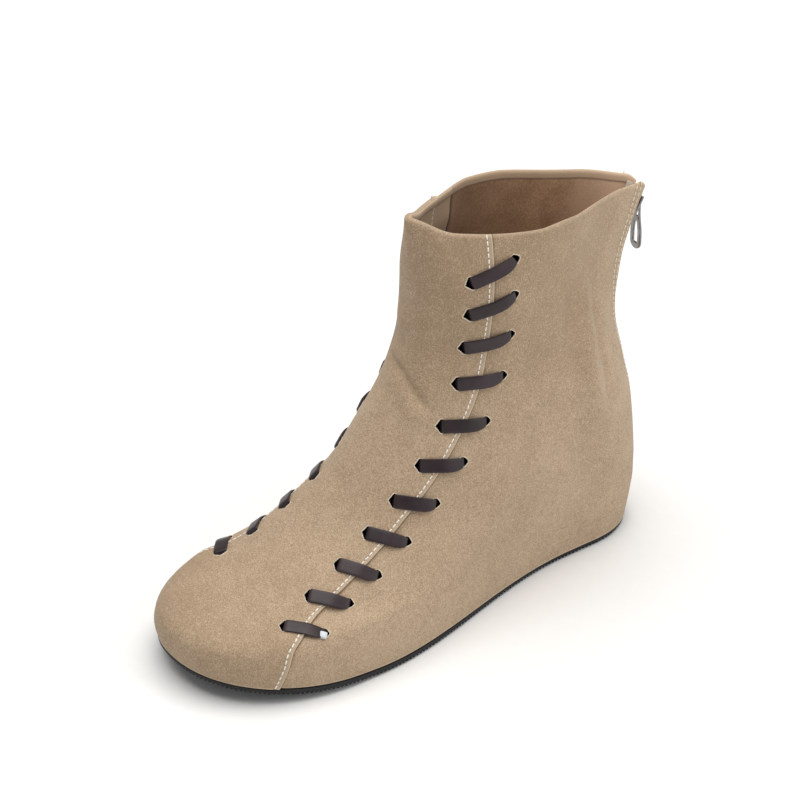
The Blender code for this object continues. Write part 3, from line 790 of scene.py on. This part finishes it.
# Each row: points on the wall (x, y, z), half width, height (a trough is negative)
CREASES = (
    (((-17, -1, 122), (1, -8, 120), (12, -8, 113), (21, -4, 104)), 2.4, -2.5),
    (((-12, -7, 116), (2, -12, 114), (12, -11, 106), (20, -7, 97)), 4.5, 1.1),
    (((-24, 2, 131), (-12, -2, 132), (2, -4, 131)), 5.0, -2.0),
    (((20, 83, 152), (26, 83, 122), (32, 81, 98), (34, 84, 66)), 5.5, 1.9),
    (((16, 92, 148), (22, 92, 122), (28, 91, 98), (31, 92, 72)), 4.0, -1.5),
    (((25, 70, 148), (29, 71, 121), (34, 69, 98)), 8.0, -1.5),
    (((36, 30, 82), (37, 46, 76)), 11.0, -1.2),
    (((33, 6, 66), (38, 24, 52)), 9.0, 0.7),
    (((14, -112, 33), (-2, -104, 36)), 9.0, -0.5),
)


def line_distance(points, line):
    """Distance of points from a line of several stretches, and how far along it each lies (0 to 1)."""
    best = np.full(points.shape[:-1], 1e9)
    along = np.zeros(points.shape[:-1])
    stops = steps_between(np.array(line))
    for k, (start, end) in enumerate(zip(line, line[1:])):
        start, end = np.array(start, float), np.array(end, float)
        step = end - start
        t = np.clip((points - start) @ step / (step @ step), 0.0, 1.0)
        apart = np.linalg.norm(points - start - t[..., None] * step, axis=-1)
        closer = apart < best
        best = np.where(closer, apart, best)
        along = np.where(closer, (stops[k] + t * (stops[k + 1] - stops[k])) / stops[-1], along)
    return best, along


def crease_height(points):
    """Sum of the creases at points of the wall."""
    total = np.zeros(points.shape[:-1])
    for line, wide, height in CREASES:
        apart, along = line_distance(points, line)
        fade = smooth(along / 0.25) * smooth((1 - along) / 0.25)
        total += height * np.exp(-(apart / wide) ** 2) * fade
    return total


def slack_height(points):
    """Slow waves of a soft wall with nothing inside, fading out towards the sole."""
    x, y, z = points[..., 0], points[..., 1], points[..., 2]
    wave = np.sin(y / 17.0 + z / 23.0 + 0.7) + np.sin(z / 13.0 - y / 29.0 + x / 31.0)
    wave = wave + np.sin(x / 15.0 + y / 37.0)
    return 0.16 * wave * smooth((z - 18.0) / 40.0)


# Upper

def wall_shift():
    """Heights of the outer face over the bare last, and of the whole wall's folds."""
    place = GRID["place"]
    folds = crease_height(place) + slack_height(place)
    at, lift = np.array(LAP_PROFILE).T
    lap = np.interp(GRID["from_seam"], at, lift)
    return folds + lap, folds


def fold_round():
    """How much of its thickness the wall has left near its folded edges, from 0 to 1."""
    in_slit = (np.arange(ROWS) >= ZIP_FOOT)[:, None]
    to_fold = np.where(in_slit, np.maximum(GRID["from_fold"], 0.0), RIM_ROUND)
    apart = np.minimum(GRID["from_collar"], to_fold)
    share = np.clip(apart / RIM_ROUND, 0.0, 1.0)
    return np.maximum(np.sqrt(1 - (1 - share) ** 2), 0.12)


def lining_cover():
    """How much deeper the lining lies along the seams, over the strip's inside runs."""
    beside = 1 - smooth((np.abs(GRID["from_seam"]) - COVER_HALF) / COVER_FADE)
    return COVER * beside * smooth((GRID["from_collar"] - COVER_FROM) / COVER_RUN)


OUTER_SHIFT, GRID["fold"] = wall_shift()
OUTER = GRID["place"] + GRID["normal"] * OUTER_SHIFT[..., None]  # outer face before its edges are rounded


def make_upper():
    """Suede wall with lapped panels, folded edges and lining, open at the collar, the zip and underneath."""
    upper = grid_sheet("upper_suede", GRID["place"])
    spot = upper.data.attributes.new("spot", "INT", "POINT")
    spot.data.foreach_set("value", np.arange(ROWS * COLUMNS, dtype=np.int32))
    slit = np.zeros((ROWS - 1, COLUMNS - 1), dtype=bool)
    slit[ZIP_FOOT:, :SLIT_COLUMNS] = True
    slit[ZIP_FOOT:, -SLIT_COLUMNS:] = True
    edit_faces(upper, slit.reshape(-1))
    bpy.ops.mesh.delete(type="FACE")
    bpy.ops.mesh.select_all(action="SELECT")
    bpy.ops.mesh.remove_doubles(threshold=MERGE)
    end_edit()
    sheet_faces = len(upper.data.polygons)
    sheet_points = len(upper.data.vertices)
    modify(upper, "SOLIDIFY", thickness=WALL * MM, offset=-1.0)
    spots = np.empty(len(upper.data.vertices), np.int32)
    upper.data.attributes["spot"].data.foreach_get("value", spots)
    half = (1 - fold_round()) * WALL / 2
    faces_out = GRID["place"] + GRID["normal"] * (OUTER_SHIFT - half)[..., None]
    faces_in = GRID["place"] + GRID["normal"] * (GRID["fold"] - WALL - lining_cover() + half)[..., None]
    outside = np.arange(len(spots)) < sheet_points
    flat_out = faces_out.reshape(-1, 3)[spots]
    flat_in = faces_in.reshape(-1, 3)[spots]
    set_places(upper, np.where(outside[:, None], flat_out, flat_in))
    mark_distances(upper, spots)
    for name in ("suede", "lining", "hole"):
        upper.data.materials.append(FINISHES[name])
    linings = np.zeros(len(upper.data.polygons), np.int32)
    linings[sheet_faces:2 * sheet_faces] = 1
    upper.data.polygons.foreach_set("material_index", linings)
    upper.data.attributes.remove(upper.data.attributes["spot"])
    cut_lace_holes(upper)
    shade(upper, 42)
    dress(upper, None, node="upper")


MARKS = (
    ("seam_marks", "from_seam", "from_sole"),
    ("edge_marks", "from_collar", "from_fold"),
    ("fold_marks", "fold", "from_sole"),
)


def mark_distances(piece, spots):
    """Keeps each corner's distances from the seam, sole, collar and fold, and its crease, in metres."""
    corners = np.empty(len(piece.data.loops), np.int32)
    piece.data.loops.foreach_get("vertex_index", corners)
    for old in list(piece.data.uv_layers):
        piece.data.uv_layers.remove(old)
    for name, *keys in MARKS:
        layer = piece.data.uv_layers.new(name=name)
        pair = np.stack([GRID[key].reshape(-1)[spots][corners] for key in keys], axis=1)
        layer.uv.foreach_set("vector", (pair * MM).astype(np.float32).reshape(-1))


# Lacing

def towards(direction, reference):
    return direction if direction.dot(reference) > 0 else -direction


def seam_route(side):
    """Points along one seam, close together, from the sole edge to the collar."""
    levels = np.linspace(0, TOP_LEVEL, 400)
    return np.array([ring_points(ring(v), seam_share(ring(v), side), side) for v in levels])


def lace_bars(side):
    """Each bar's middle, directions across the seam, outward and up it, and share of the toe's shortness."""
    route = seam_route(side)
    run = steps_between(route)
    bars = []
    for number, (along, lean) in enumerate(BARS):
        if side < 0:
            along += INNER_AHEAD * (1 - number / (len(BARS) - 1))
        k = int(np.searchsorted(run, along))
        share = (along - run[k - 1]) / (run[k] - run[k - 1])
        middle = Vector(route[k - 1] + (route[k] - route[k - 1]) * share)
        up = Vector(route[k] - route[k - 1])
        normal = towards(LAST.find_nearest(middle)[1], Vector((middle.x, 0, 20)))
        up = (up - normal * up.dot(normal)).normalized()
        across = towards(up.cross(normal), Vector((0, 1, 0)))
        lean = math.radians(lean)
        full, fading = TOE_SHORT_BARS
        short = 1 - smooth((number - full) / fading)
        bars.append((middle, across * math.cos(lean) + up * math.sin(lean), normal, up, short))
    return bars


def over_last(bar, reach, height):
    """A point at a reach from the seam along a bar and a height over the last, and the way out of it."""
    middle, across, normal, _, _ = bar
    near, facing, _, _ = LAST.find_nearest(middle + across * reach)
    facing = towards(facing, normal)
    return near + facing * height, facing


def bar_reach(bar, end):
    """How far from the seam a bar's hole is at its front (-1) or rear (1) end."""
    return BAR_REACH - TOE_SHORT[end] * bar[4]


def hole_frame(bar, end):
    """Middle of a hole, and its directions along the strip, across it and out of the wall."""
    centre, axis = over_last(bar, end * bar_reach(bar, end), 0.0)
    along = (bar[1] - axis * bar[1].dot(axis)).normalized() * end
    over = towards(axis.cross(along), bar[3])
    return centre + over * HOLES[end][2], along, over, axis


def hole_outline(bar, end, count):
    """Slit hole: blunt where the strip comes in and drawn to a point at its far end."""
    wide, long, _, sharp = HOLES[end]
    long = long - TOE_HOLE_SHORT[end] * bar[4]
    turns = 2 * np.pi * np.arange(count) / count
    along = np.cos(turns)
    across = np.sin(turns) * (1 - sharp * smooth(along))
    return along * long / 2, across * wide / 2


def lace_holes():
    """Every hole of both sides: its bar, its end of it, and its middle and three directions."""
    for side in (1, -1):
        for bar in lace_bars(side):
            for end in (-1, 1):
                yield bar, end, *(np.array(v) for v in hole_frame(bar, end))


def cut_lace_holes(upper):
    """Cuts the holes for every bar with one joined cutter."""
    cutters = []
    for bar, end, centre, forward, over, axis in lace_holes():
        along, across = hole_outline(bar, end, 20)
        loop = centre + along[:, None] * forward + across[:, None] * over
        cutters.append(loft("hole", [loop - axis * HOLE_DEPTH, loop + axis * HOLE_CLEAR]))
    cutter = join("lace_holes", cutters)
    for name in ("suede", "lining", "hole"):
        cutter.data.materials.append(FINISHES[name])
    # the holes' cut walls take slot 2, the painted shade of hole_finish
    cutter.data.polygons.foreach_set("material_index", np.full(len(cutter.data.polygons), 2, np.int32))
    modify(upper, "BOOLEAN", operation="DIFFERENCE", object=cutter, solver="MANIFOLD")
    remove(cutter)


def strip_section(wide, thick):
    """Flat strip with cut edges that are only just rounded."""
    turns = 2 * np.pi * (np.arange(16) + 0.5) / 16
    c, s = np.cos(turns), np.sin(turns)
    across = np.sign(c) * np.abs(c) ** 0.45 * wide / 2
    through = np.sign(s) * np.abs(s) ** 0.35 * thick / 2
    return across, through


def strip_stations(side):
    """Points of the strip's middle line, with their sideways directions and shares of the full width."""
    under = -(WALL + STRIP_THICK)
    stations = []
    for bar in lace_bars(side):
        wide = bar[2].cross(bar[1])
        higher = towards(wide, bar[3])
        # reach from the seam, height, share of the full width, shift up the seam
        rows = (
            (-8.6, under, 0.9, 0.0), (-11.2, under + 1.0, 0.85, 0.0), (-11.7, -1.0, 0.88, 0.1),
            (-11.2, 0.4, 0.95, 0.1), (-10.2, LAP + 0.6, 1.0, 0.0), (-6.5, LAP + 0.75, 1.0, 0.0),
            (0.0, LAP + 0.8, 1.0, 0.0), (5.5, LAP * 0.45 + 0.8, 0.98, 0.0), (9.2, 0.65, 0.82, 0.5),
            (11.0, 0.1, 0.64, 1.0), (11.8, -1.0, 0.6, 1.1), (11.2, under + 1.0, 0.7, 0.8),
            (8.6, under, 0.9, 0.0),
        )
        for reach, height, share, shift in rows:
            shorter = bar_reach(bar, 1 if reach > 0 else -1) / BAR_REACH
            point, _ = over_last(bar, reach * shorter, height)
            stations.append((point + higher * shift, wide, share))
    return stations[3:-3]


def through_points(points, steps):
    """A smooth line through points, with a number of steps between neighbours."""
    points = np.asarray(points, float)
    ends = np.concatenate([[2 * points[0] - points[1]], points, [2 * points[-1] - points[-2]]])
    line = []
    for k in range(1, len(ends) - 2):
        a, b, c, d = ends[k - 1:k + 3]
        for t in np.arange(steps) / steps:
            line.append(0.5 * (2 * b + (c - a) * t + (2 * a - 5 * b + 4 * c - d) * t ** 2
                               + (3 * b - a - 3 * c + d) * t ** 3))
    line.append(points[-1])
    return np.array(line)


def make_lace(name, side, node):
    stations = strip_stations(side)
    line = through_points([s[0] for s in stations], 4)
    wides = through_points([s[1] for s in stations], 4)
    shares = through_points([[s[2]] for s in stations], 4)
    across, through = strip_section(STRIP_WIDE, STRIP_THICK)
    forward = unit(np.gradient(line, axis=0))
    sideways = unit(wides - forward * np.sum(wides * forward, axis=1, keepdims=True))
    outward = np.cross(forward, sideways)
    sections = (line[:, None] + across[None, :, None] * shares[:, None] * sideways[:, None]
                + through[None, :, None] * outward[:, None])
    lace = loft(name, sections)
    shade(lace, 50)
    dress(lace, FINISHES["strip"], node=node)


def make_strip_tip():
    """Pale plastic tip on the strip's loose end, tucked into the toe bar's rear hole."""
    centre, forward, over, axis = hole_frame(lace_bars(1)[0], 1)
    deselect()
    bpy.ops.mesh.primitive_cube_add(size=1)
    tip = name_piece("strip_tip")
    set_places(tip, get_places(tip) * MM * np.array(TIP_SIZE))
    modify(tip, "BEVEL", width=TIP_ROUND * MM, segments=3)
    turn = Matrix((forward, over, axis)).transposed().to_4x4()
    place = centre - over * TIP_DOWN - forward * TIP_BACK + axis * TIP_OUT
    tip.data.transform(Matrix.Translation(place * MM) @ turn)
    shade(tip, 60)
    dress(tip, FINISHES["tip"])


def hole_edge(bar, end, count):
    """Places of a hole's outline in its own two directions, and the directions out of it."""
    outline = np.stack(hole_outline(bar, end, count), axis=1)
    tangent = np.roll(outline, -1, axis=0) - np.roll(outline, 1, axis=0)
    out = np.stack([tangent[:, 1], -tangent[:, 0]], axis=1)
    return outline, unit(out)


def on_face(face, point, axis):
    """The place of the outer face straight under or over a point."""
    hit = face.ray_cast(Vector(point + axis * 6.0), Vector(-axis), 12.0)[0]
    return point if hit is None else np.array(hit)


def make_hole_edges(face):
    """Pale raw edge of the suede around each hole, thickest at its far end."""
    edges = []
    turns = 2 * np.pi * np.arange(6) / 6
    for bar, end, centre, forward, over, axis in lace_holes():
        sections = []
        for (ahead, sideways), (out_ahead, out_sideways) in zip(*hole_edge(bar, end, 36)):
            radial = forward * out_ahead + over * out_sideways
            point = on_face(face, centre + forward * ahead + over * sideways + radial * EDGE_OUT, axis)
            round_by = EDGE_THIN + EDGE_MORE * smooth(out_ahead + 0.5)
            loop = np.cos(turns)[:, None] * radial + np.sin(turns)[:, None] * axis
            sections.append(point + loop * round_by)
        edges.append(loft("hole_edge", sections + sections[:1], fill=False))
    return join("hole_edges", edges)


def make_hole_fray():
    """Raw edges of the holes, with cut suede fibres that stand out of them."""
    face = surface_tree(OUTER)
    edges = make_hole_edges(face)
    deselect()
    bpy.ops.mesh.primitive_cone_add(
        vertices=4, radius1=FIBRE_FOOT * MM, radius2=FIBRE_TIP * MM, depth=FIBRE_LONG * MM)
    fibre = name_piece("fibre")
    draw = np.random.default_rng(FIBRE_SEED)
    spots = []
    for bar, end, centre, forward, over, axis in lace_holes():
        for (ahead, sideways), (out_ahead, out_sideways) in zip(*hole_edge(bar, end, 80)):
            far = smooth((out_ahead + 0.35) / 0.8)
            if draw.random() > 0.2 + 0.6 * far:
                continue
            radial = forward * out_ahead + over * out_sideways
            point = on_face(face, centre + forward * ahead + over * sideways, axis)
            lean = axis * draw.uniform(0.2, 1.0) + radial * draw.uniform(-0.5, 0.4)
            lean = unit(lean + (forward * draw.normal() + over * draw.normal()) * 0.25)
            side_on = unit(np.cross(lean, forward))
            axes = np.array([side_on, np.cross(lean, side_on), lean * draw.uniform(0.5, 1.1)])
            spots.append((point + radial * draw.uniform(0.0, 0.35) + lean * 0.12, axes))
    fibres = strew("fibres", fibre, spots)
    fray = join("hole_fray", [edges, fibres])
    shade(fray, 60)
    dress(fray, FINISHES["fray"])


# Stitching

def stitch_pattern():
    """One stitch: a rounded capsule that lies along X."""
    deselect()
    bpy.ops.mesh.primitive_uv_sphere_add(segments=8, ring_count=6, radius=STITCH_ROUND * MM)
    stitch = name_piece("stitch")
    places = get_places(stitch)
    places = places[:, [2, 0, 1]]
    straight = STITCH_LONG / 2 - STITCH_ROUND
    places[:, 0] += np.sign(np.round(places[:, 0], 4)) * straight
    places[:, 2] *= 0.85
    set_places(stitch, places)
    return stitch


def outer_line(side, key, apart, first_row):
    """The outer face and its directions along a line at a distance from one side's seam or fold."""
    middle = COLUMNS // 2
    columns = np.arange(middle, COLUMNS) if side > 0 else np.arange(middle, -1, -1)
    if key == "from_fold":
        columns = columns[::-1]
    points, normals = [], []
    for i in range(first_row, ROWS):
        at = np.interp(apart, GRID[key][i, columns], columns)
        low = int(np.floor(at))
        high = min(low + 1, COLUMNS - 1)
        share = at - low
        points.append(OUTER[i, low] * (1 - share) + OUTER[i, high] * share)
        normals.append(GRID["normal"][i, low] * (1 - share) + GRID["normal"][i, high] * share)
    return np.array(points), np.array(normals)


def at_distance(line, run, at):
    return np.array([np.interp(at, run, column) for column in line.T])


def stitch_row(side, key, apart, first_row=0):
    """Evenly spaced stitches along such a line, each with its directions along, across and out."""
    points, normals = outer_line(side, key, apart, first_row)
    run = steps_between(points)
    spots = []
    draw = np.random.default_rng(STITCH_SEED)
    for at in np.arange(STITCH_PITCH / 2, run[-1], STITCH_PITCH):
        normal = at_distance(normals, run, at)
        along = unit(at_distance(points, run, at + 1.0) - at_distance(points, run, at - 1.0))
        across = unit(np.cross(normal, along))
        along = unit(along + across * draw.normal() * STITCH_STRAY)
        out = unit(np.cross(along, np.cross(normal, along)))
        axes = np.array([along, np.cross(out, along), out])
        spots.append((at_distance(points, run, at) + out * STITCH_RISE, axes))
    return spots


def make_stitching():
    """White stitches along the front panel's edges and tan ones beside the zip."""
    white, tan = [], []
    for side in (1, -1):
        white += stitch_row(side, "from_seam", -STITCH_FROM_SEAM)
        for apart in ZIP_STITCH_ROWS:
            tan += stitch_row(side, "from_fold", apart, ZIP_FOOT)
    rows = (("seam_stitches", "white_thread", white), ("zip_stitches", "tan_thread", tan))
    for name, thread, spots in rows:
        stitches = strew(name, stitch_pattern(), spots)
        shade(stitches, 60)
        dress(stitches, FINISHES[thread])


# Soles

def outline_stations(grow, pitch):
    """Shares of the length for stations evenly apart along the outer side's outline."""
    u = 0.5 - 0.5 * np.cos(np.pi * np.linspace(0, 1, 2000))
    run = steps_between(ring_points(ring(0, grow), u, 1))
    count = int(run[-1] / pitch)
    return np.interp(np.linspace(0, run[-1], count + 1), run, u)


def sole_place(u, side, inset):
    grow = TOE_LEDGE + (HEEL_LEDGE - TOE_LEDGE) * smooth((u - BALL_AT) / (HEEL_AT - BALL_AT)) - inset
    return ring_points(ring(0, float(grow)), u, side)


def make_outsole():
    """Thin black sole with a stepped side and a ribbed underside whose ribs notch the lower edge."""
    rib_steps = 4
    stations = outline_stations(TOE_LEDGE, RIB_PITCH)
    top, bottom = -GAP, -GAP - SOLE_THICK
    step_at = (top + bottom) / 2
    sections = []
    for k, u in enumerate(stations):
        groove = 1.0 if k % rib_steps in (0, 1) else 0.0
        notch = RIB_NOTCH * groove
        tread = bottom + RIB_DEPTH * groove
        side_rows = (
            (0.5, top), (0.0, top - 0.35), (0.0, step_at), (SOLE_STEP, step_at - 0.15),
            (SOLE_STEP + notch, tread + 0.25), (SOLE_STEP + 0.4 + notch, tread),
        )
        outer, inner = (
            [sole_place(u, side, inset) + (0, 0, drop) for inset, drop in side_rows] for side in (1, -1))
        across = np.linspace(0, 1, 12)[1:-1, None]
        under = outer[-1] + (inner[-1] - outer[-1]) * across
        over = inner[0] + (outer[0] - inner[0]) * across
        sections.append(np.concatenate([outer, under, inner[::-1], over]))
    sole = loft("ribbed_outsole", sections)
    shade(sole, 35)
    dress(sole, FINISHES["rubber"], node="outsole")


def make_insole():
    """Soft insole board, crowned along its middle, with the crown fading out at the heel."""
    inset = WALL + 4 * GAP
    stations = outline_stations(-inset, 3.0)
    sections = []
    for u in stations:
        outer = ring_points(ring(0, -inset), u, 1)
        inner = ring_points(ring(0, -inset), u, -1)
        across = np.linspace(0, 1, 15)[1:-1]
        swell = 0.5 * np.sin(np.pi * across) - 0.5 * np.sin(np.pi * across) * smooth((u - 0.7) / 0.2)
        over = inner + (outer - inner) * across[:, None]
        over[:, 2] += INSOLE_THICK + swell
        under = outer + (inner - outer) * across[::6, None]
        edge = [outer + (0, 0, INSOLE_THICK - 0.6), outer + (0, 0, 0.0)]
        far = [inner + (0, 0, 0.0), inner + (0, 0, INSOLE_THICK - 0.6)]
        sections.append(np.concatenate([edge, under, far, over]))
    board = loft("insole_board", sections)
    shade(board, 50)
    dress(board, FINISHES["insole"], node="insole")


# Zip

def zip_middle(level):
    """Middle between the two folded edges at a level, where the zip runs."""
    points, _, _ = side_track(level, 1)
    return Vector(points[-1])


def back_line(level, depth):
    """Point on the centre back at a depth under the surface, with the directions out of it and up it."""
    low = zip_middle(level - 0.05)
    high = zip_middle(min(level + 0.05, TOP_LEVEL))
    up = (high - low).normalized()
    normal = towards(Vector((1, 0, 0)).cross(up), Vector((0, 1, 0)))
    return zip_middle(level) - normal * depth, normal, up


def back_columns(reach):
    """Columns of the wall within a distance of the folded edges, from the inner side to the outer."""
    near = np.flatnonzero(GRID["from_fold"][ROWS // 2] <= reach)
    middle = COLUMNS // 2
    inner = near[near < middle][::-1]
    outer = near[near > middle][::-1]
    return np.concatenate([inner, outer[1:]])


def tape_line(row, columns, depth):
    """Places across a row at a depth: against both panels, and straight between their folded edges."""
    line = GRID["place"][row, columns] - GRID["normal"][row, columns] * depth
    between = np.flatnonzero(GRID["from_fold"][row, columns] <= 0.01)
    line[between] = np.linspace(line[between[0]], line[between[-1]], len(between))
    return line


def make_zip_tape():
    """Woven tape behind the folded edges, ending just under the collar."""
    columns = back_columns(TAPE_REACH - ZIP_HALF_GAP)
    sections = []
    for i in range(ZIP_FOOT, ROWS - 5):
        front = tape_line(i, columns, WALL + 0.25)
        rear = tape_line(i, columns, WALL + 0.25 + TAPE_THICK)
        sections.append(np.concatenate([front, rear[::-1]]))
    tape = loft("zip_tape_woven", sections)
    shade(tape, 40)
    dress(tape, FINISHES["tape"], node="zip_tape")


def make_zip_teeth():
    """Two rows of nylon coil that mesh along the centre back."""
    deselect()
    bpy.ops.mesh.primitive_uv_sphere_add(segments=8, ring_count=6, radius=TOOTH_ROUND * MM)
    tooth = name_piece("tooth")
    places = get_places(tooth)[:, [2, 0, 1]]
    places[:, 0] += np.sign(np.round(places[:, 0], 4)) * TOOTH_HALF
    set_places(tooth, places)
    levels = np.linspace(ZIP_FOOT_LEVEL + 0.1, TOP_LEVEL - 0.06, 400)
    line = [back_line(v, 0.3) for v in levels]
    run = steps_between(np.array([p for p, _, _ in line]))
    spots = []
    count = int(run[-1] / (TEETH_PITCH / 2))
    for k in range(count):
        at = min(int(np.searchsorted(run, k * TEETH_PITCH / 2)), len(line) - 1)
        point, normal, up = line[at]
        side = 1 if k % 2 else -1
        lean = (Vector((1, 0, 0)) + up * 0.18 * side).normalized()
        axes = np.array([lean, normal.cross(lean), normal])
        spots.append((np.array(point + Vector((side * TOOTH_OUT, 0, 0))), axes))
    teeth = strew("zip_coil", tooth, spots)
    shade(teeth, 60)
    dress(teeth, FINISHES["coil"], node="zip_chain")


def slider_place():
    foot, normal, up = back_line(SLIDER_LEVEL, -CHAIN_OUT - GAP)
    return foot + normal * SLIDER_SIZE[1] / 2, normal, up


def stand_at(piece, middle, normal, up):
    """Puts a piece modelled with its width on X, its front at -Y and its height on Z on the boot's back."""
    turn = Matrix((Vector((-1, 0, 0)), -normal, up)).transposed().to_4x4()
    piece.data.transform(Matrix.Translation(middle * MM) @ turn)


def make_zip_slider():
    """Slider body with a waist and a raised bail."""
    middle, normal, up = slider_place()
    deselect()
    bpy.ops.mesh.primitive_cube_add(size=1)
    body = name_piece("slider_body")
    places = get_places(body) * MM * np.array(SLIDER_SIZE)
    low = places[:, 2] < 0
    places[low, 0] *= SLIDER_WAIST
    set_places(body, places)
    modify(body, "BEVEL", width=SLIDER_ROUND * MM, segments=3, limit_method="ANGLE")
    ahead = [face.normal.y < -0.95 for face in body.data.polygons]
    large = [face.area > SLIDER_FACE * MM * MM for face in body.data.polygons]
    edit_faces(body, np.logical_and(ahead, large))
    bpy.ops.mesh.inset(thickness=SLIDER_RIM * MM, depth=SLIDER_SINK * MM)
    end_edit()
    bail = make_bail()
    slider = join("zip_slider_metal", [body, bail])
    stand_at(slider, middle, normal, up)
    shade(slider, 40)
    dress(slider, FINISHES["metal"], node="zip_slider")


def make_bail():
    """Half ring of wire over the slider's front."""
    sections = []
    foot = -(SLIDER_SIZE[1] / 2 - 0.5)
    for k in range(17):
        angle = math.pi * k / 16
        spoke = np.array([0.0, foot - math.sin(angle) * (BAIL_REACH + 0.5), math.cos(angle) * BAIL_REACH])
        outward = np.array([0.0, -math.sin(angle), math.cos(angle)])
        turns = 2 * np.pi * np.arange(10) / 10
        ring_at = np.cos(turns)[:, None] * np.array([1.0, 0, 0]) + np.sin(turns)[:, None] * outward
        sections.append(spoke + ring_at * BAIL_WIRE)
    return loft("bail", sections)


def pull_half_width(t):
    wide = PULL_NECK + (PULL_WIDE - PULL_NECK) * smooth((t - 0.15) / 0.5)
    return wide / 2 * round_end((1 - t) * PULL_LONG / PULL_TIP, 2.0)


def plate_from(name, loop, thick):
    """A flat plate from an outline in x and z, centred on its thickness."""
    loop = np.asarray(loop)
    flat = np.stack([loop[:, 0], np.zeros(len(loop)), loop[:, 1]], axis=1)
    return loft(name, [flat + (0, -thick / 2, 0), flat + (0, thick / 2, 0)])


def make_zip_pull():
    """Flat teardrop tab with a window for the bail, a slot and rounded edges."""
    middle, normal, _ = slider_place()
    hinge = middle + normal * (SLIDER_SIZE[1] / 2 + GAP + PULL_THICK / 2 + PULL_PLAY)
    t = np.concatenate([np.linspace(0, 0.85, 14), 1 - 0.15 * (1 - np.linspace(0, 1, 12)[1:]) ** 2])
    right = np.stack([pull_half_width(t), -t * PULL_LONG + PULL_RISE], axis=1)
    loop = np.concatenate([right, (right * (-1, 1))[-2::-1]])
    pull = plate_from("zip_pull_tab", loop, PULL_THICK)
    right = np.array([(WINDOW_HALF, -WINDOW_TOP), (WINDOW_HALF, -WINDOW_FOOT)]) + (0, PULL_RISE)
    window = np.concatenate([right, (right * (-1, 1))[::-1]])
    t = np.linspace(SLOT_FROM, SLOT_TO, 14)
    right = np.stack([np.maximum(pull_half_width(t) - SLOT_RIM, 0.0), -t * PULL_LONG + PULL_RISE], axis=1)
    slot = np.concatenate([right, (right * (-1, 1))[::-1]])
    for name, hole in (("pull_window", window), ("pull_slot", slot)):
        cutter = plate_from(name, hole, 4 * PULL_THICK)
        modify(pull, "BOOLEAN", operation="DIFFERENCE", object=cutter, solver="EXACT")
        remove(cutter)
    modify(pull, "BEVEL", width=PULL_ROUND * MM, segments=3, limit_method="ANGLE")
    pull.data.transform(Matrix.Translation(hinge * MM))
    shade(pull, 35)
    dress(pull, FINISHES["metal"], body="pull_tab", node="zip_pull")


# Floor, light and camera

CAMERA_AZIMUTH = 53.0822
CAMERA_ELEVATION = 31.7899
CAMERA_AWAY = 1499.9
CAMERA_TARGET = (-14.80, 2.82, 93.30)
CAMERA_LENS = 144.5

WORLD_LIGHT = 0.37
LIT_POINT = (0, 0, 0.1)  # where the lights aim, in metres
# Name, place in metres, size, power and tint
LIGHTS = (
    ("key_light", (-0.1, -0.02, 2.0), 2.2, 47.0, (1.0, 0.985, 0.96)),
    ("back_fill", (1.3, 1.1, 0.7), 1.4, 10.0, (1.0, 1.0, 1.0)),
)


def make_floor():
    deselect()
    bpy.ops.mesh.primitive_plane_add(size=6)
    floor = name_piece("floor")
    f = Finish("pale_floor", Specular_IOR_Level=0.2)
    base = f.mix(f.noise(6.0, 2.0), (0.86, 0.86, 0.855), (0.89, 0.89, 0.885))
    floor.data.materials.append(f.finish(base, 0.7))
    floor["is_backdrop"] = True


def make_light(name, place, size, power, tint):
    light = bpy.data.lights.new(name, "AREA")
    light.size = size
    light.energy = power
    light.color = tint
    lamp = bpy.data.objects.new(name, light)
    lamp.location = place
    lamp.rotation_euler = (Vector(LIT_POINT) - Vector(place)).to_track_quat("-Z", "Y").to_euler()
    bpy.context.scene.collection.objects.link(lamp)


def make_lights():
    world = bpy.context.scene.world or bpy.data.worlds.new("studio")
    bpy.context.scene.world = world
    world.use_nodes = True
    background = world.node_tree.nodes["Background"]
    background.inputs["Color"].default_value = (1.0, 1.0, 1.0, 1.0)
    background.inputs["Strength"].default_value = WORLD_LIGHT
    for row in LIGHTS:
        make_light(*row)


def make_camera():
    turn, rise = math.radians(CAMERA_AZIMUTH), math.radians(CAMERA_ELEVATION)
    back = Vector((math.sin(turn) * math.cos(rise), -math.cos(turn) * math.cos(rise), math.sin(rise)))
    lens = bpy.data.cameras.new("photo_view")
    lens.lens = CAMERA_LENS
    lens.sensor_width = 36.0
    camera = bpy.data.objects.new("photo_view", lens)
    camera.location = (Vector(CAMERA_TARGET) + back * CAMERA_AWAY) * MM
    camera.rotation_euler = (-back).to_track_quat("-Z", "Y").to_euler()
    bpy.context.scene.collection.objects.link(camera)
    bpy.context.scene.camera = camera


def dress_boot():
    make_camera()
    make_floor()
    make_lights()
    bpy.context.scene.view_settings.view_transform = "Standard"
    make_upper()
    make_lace("strip_outer_side", 1, "lace_outer_side")
    make_lace("strip_inner_side", -1, "lace_inner_side")
    make_strip_tip()
    make_hole_fray()
    make_stitching()
    make_outsole()
    make_insole()
    make_zip_tape()
    make_zip_teeth()
    make_zip_slider()
    make_zip_pull()


dress_boot()
boxes = {"solids": SOLID_BOX, "dressed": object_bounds()}
boxes = {name: [list(corner) for corner in box] for name, box in boxes.items()}
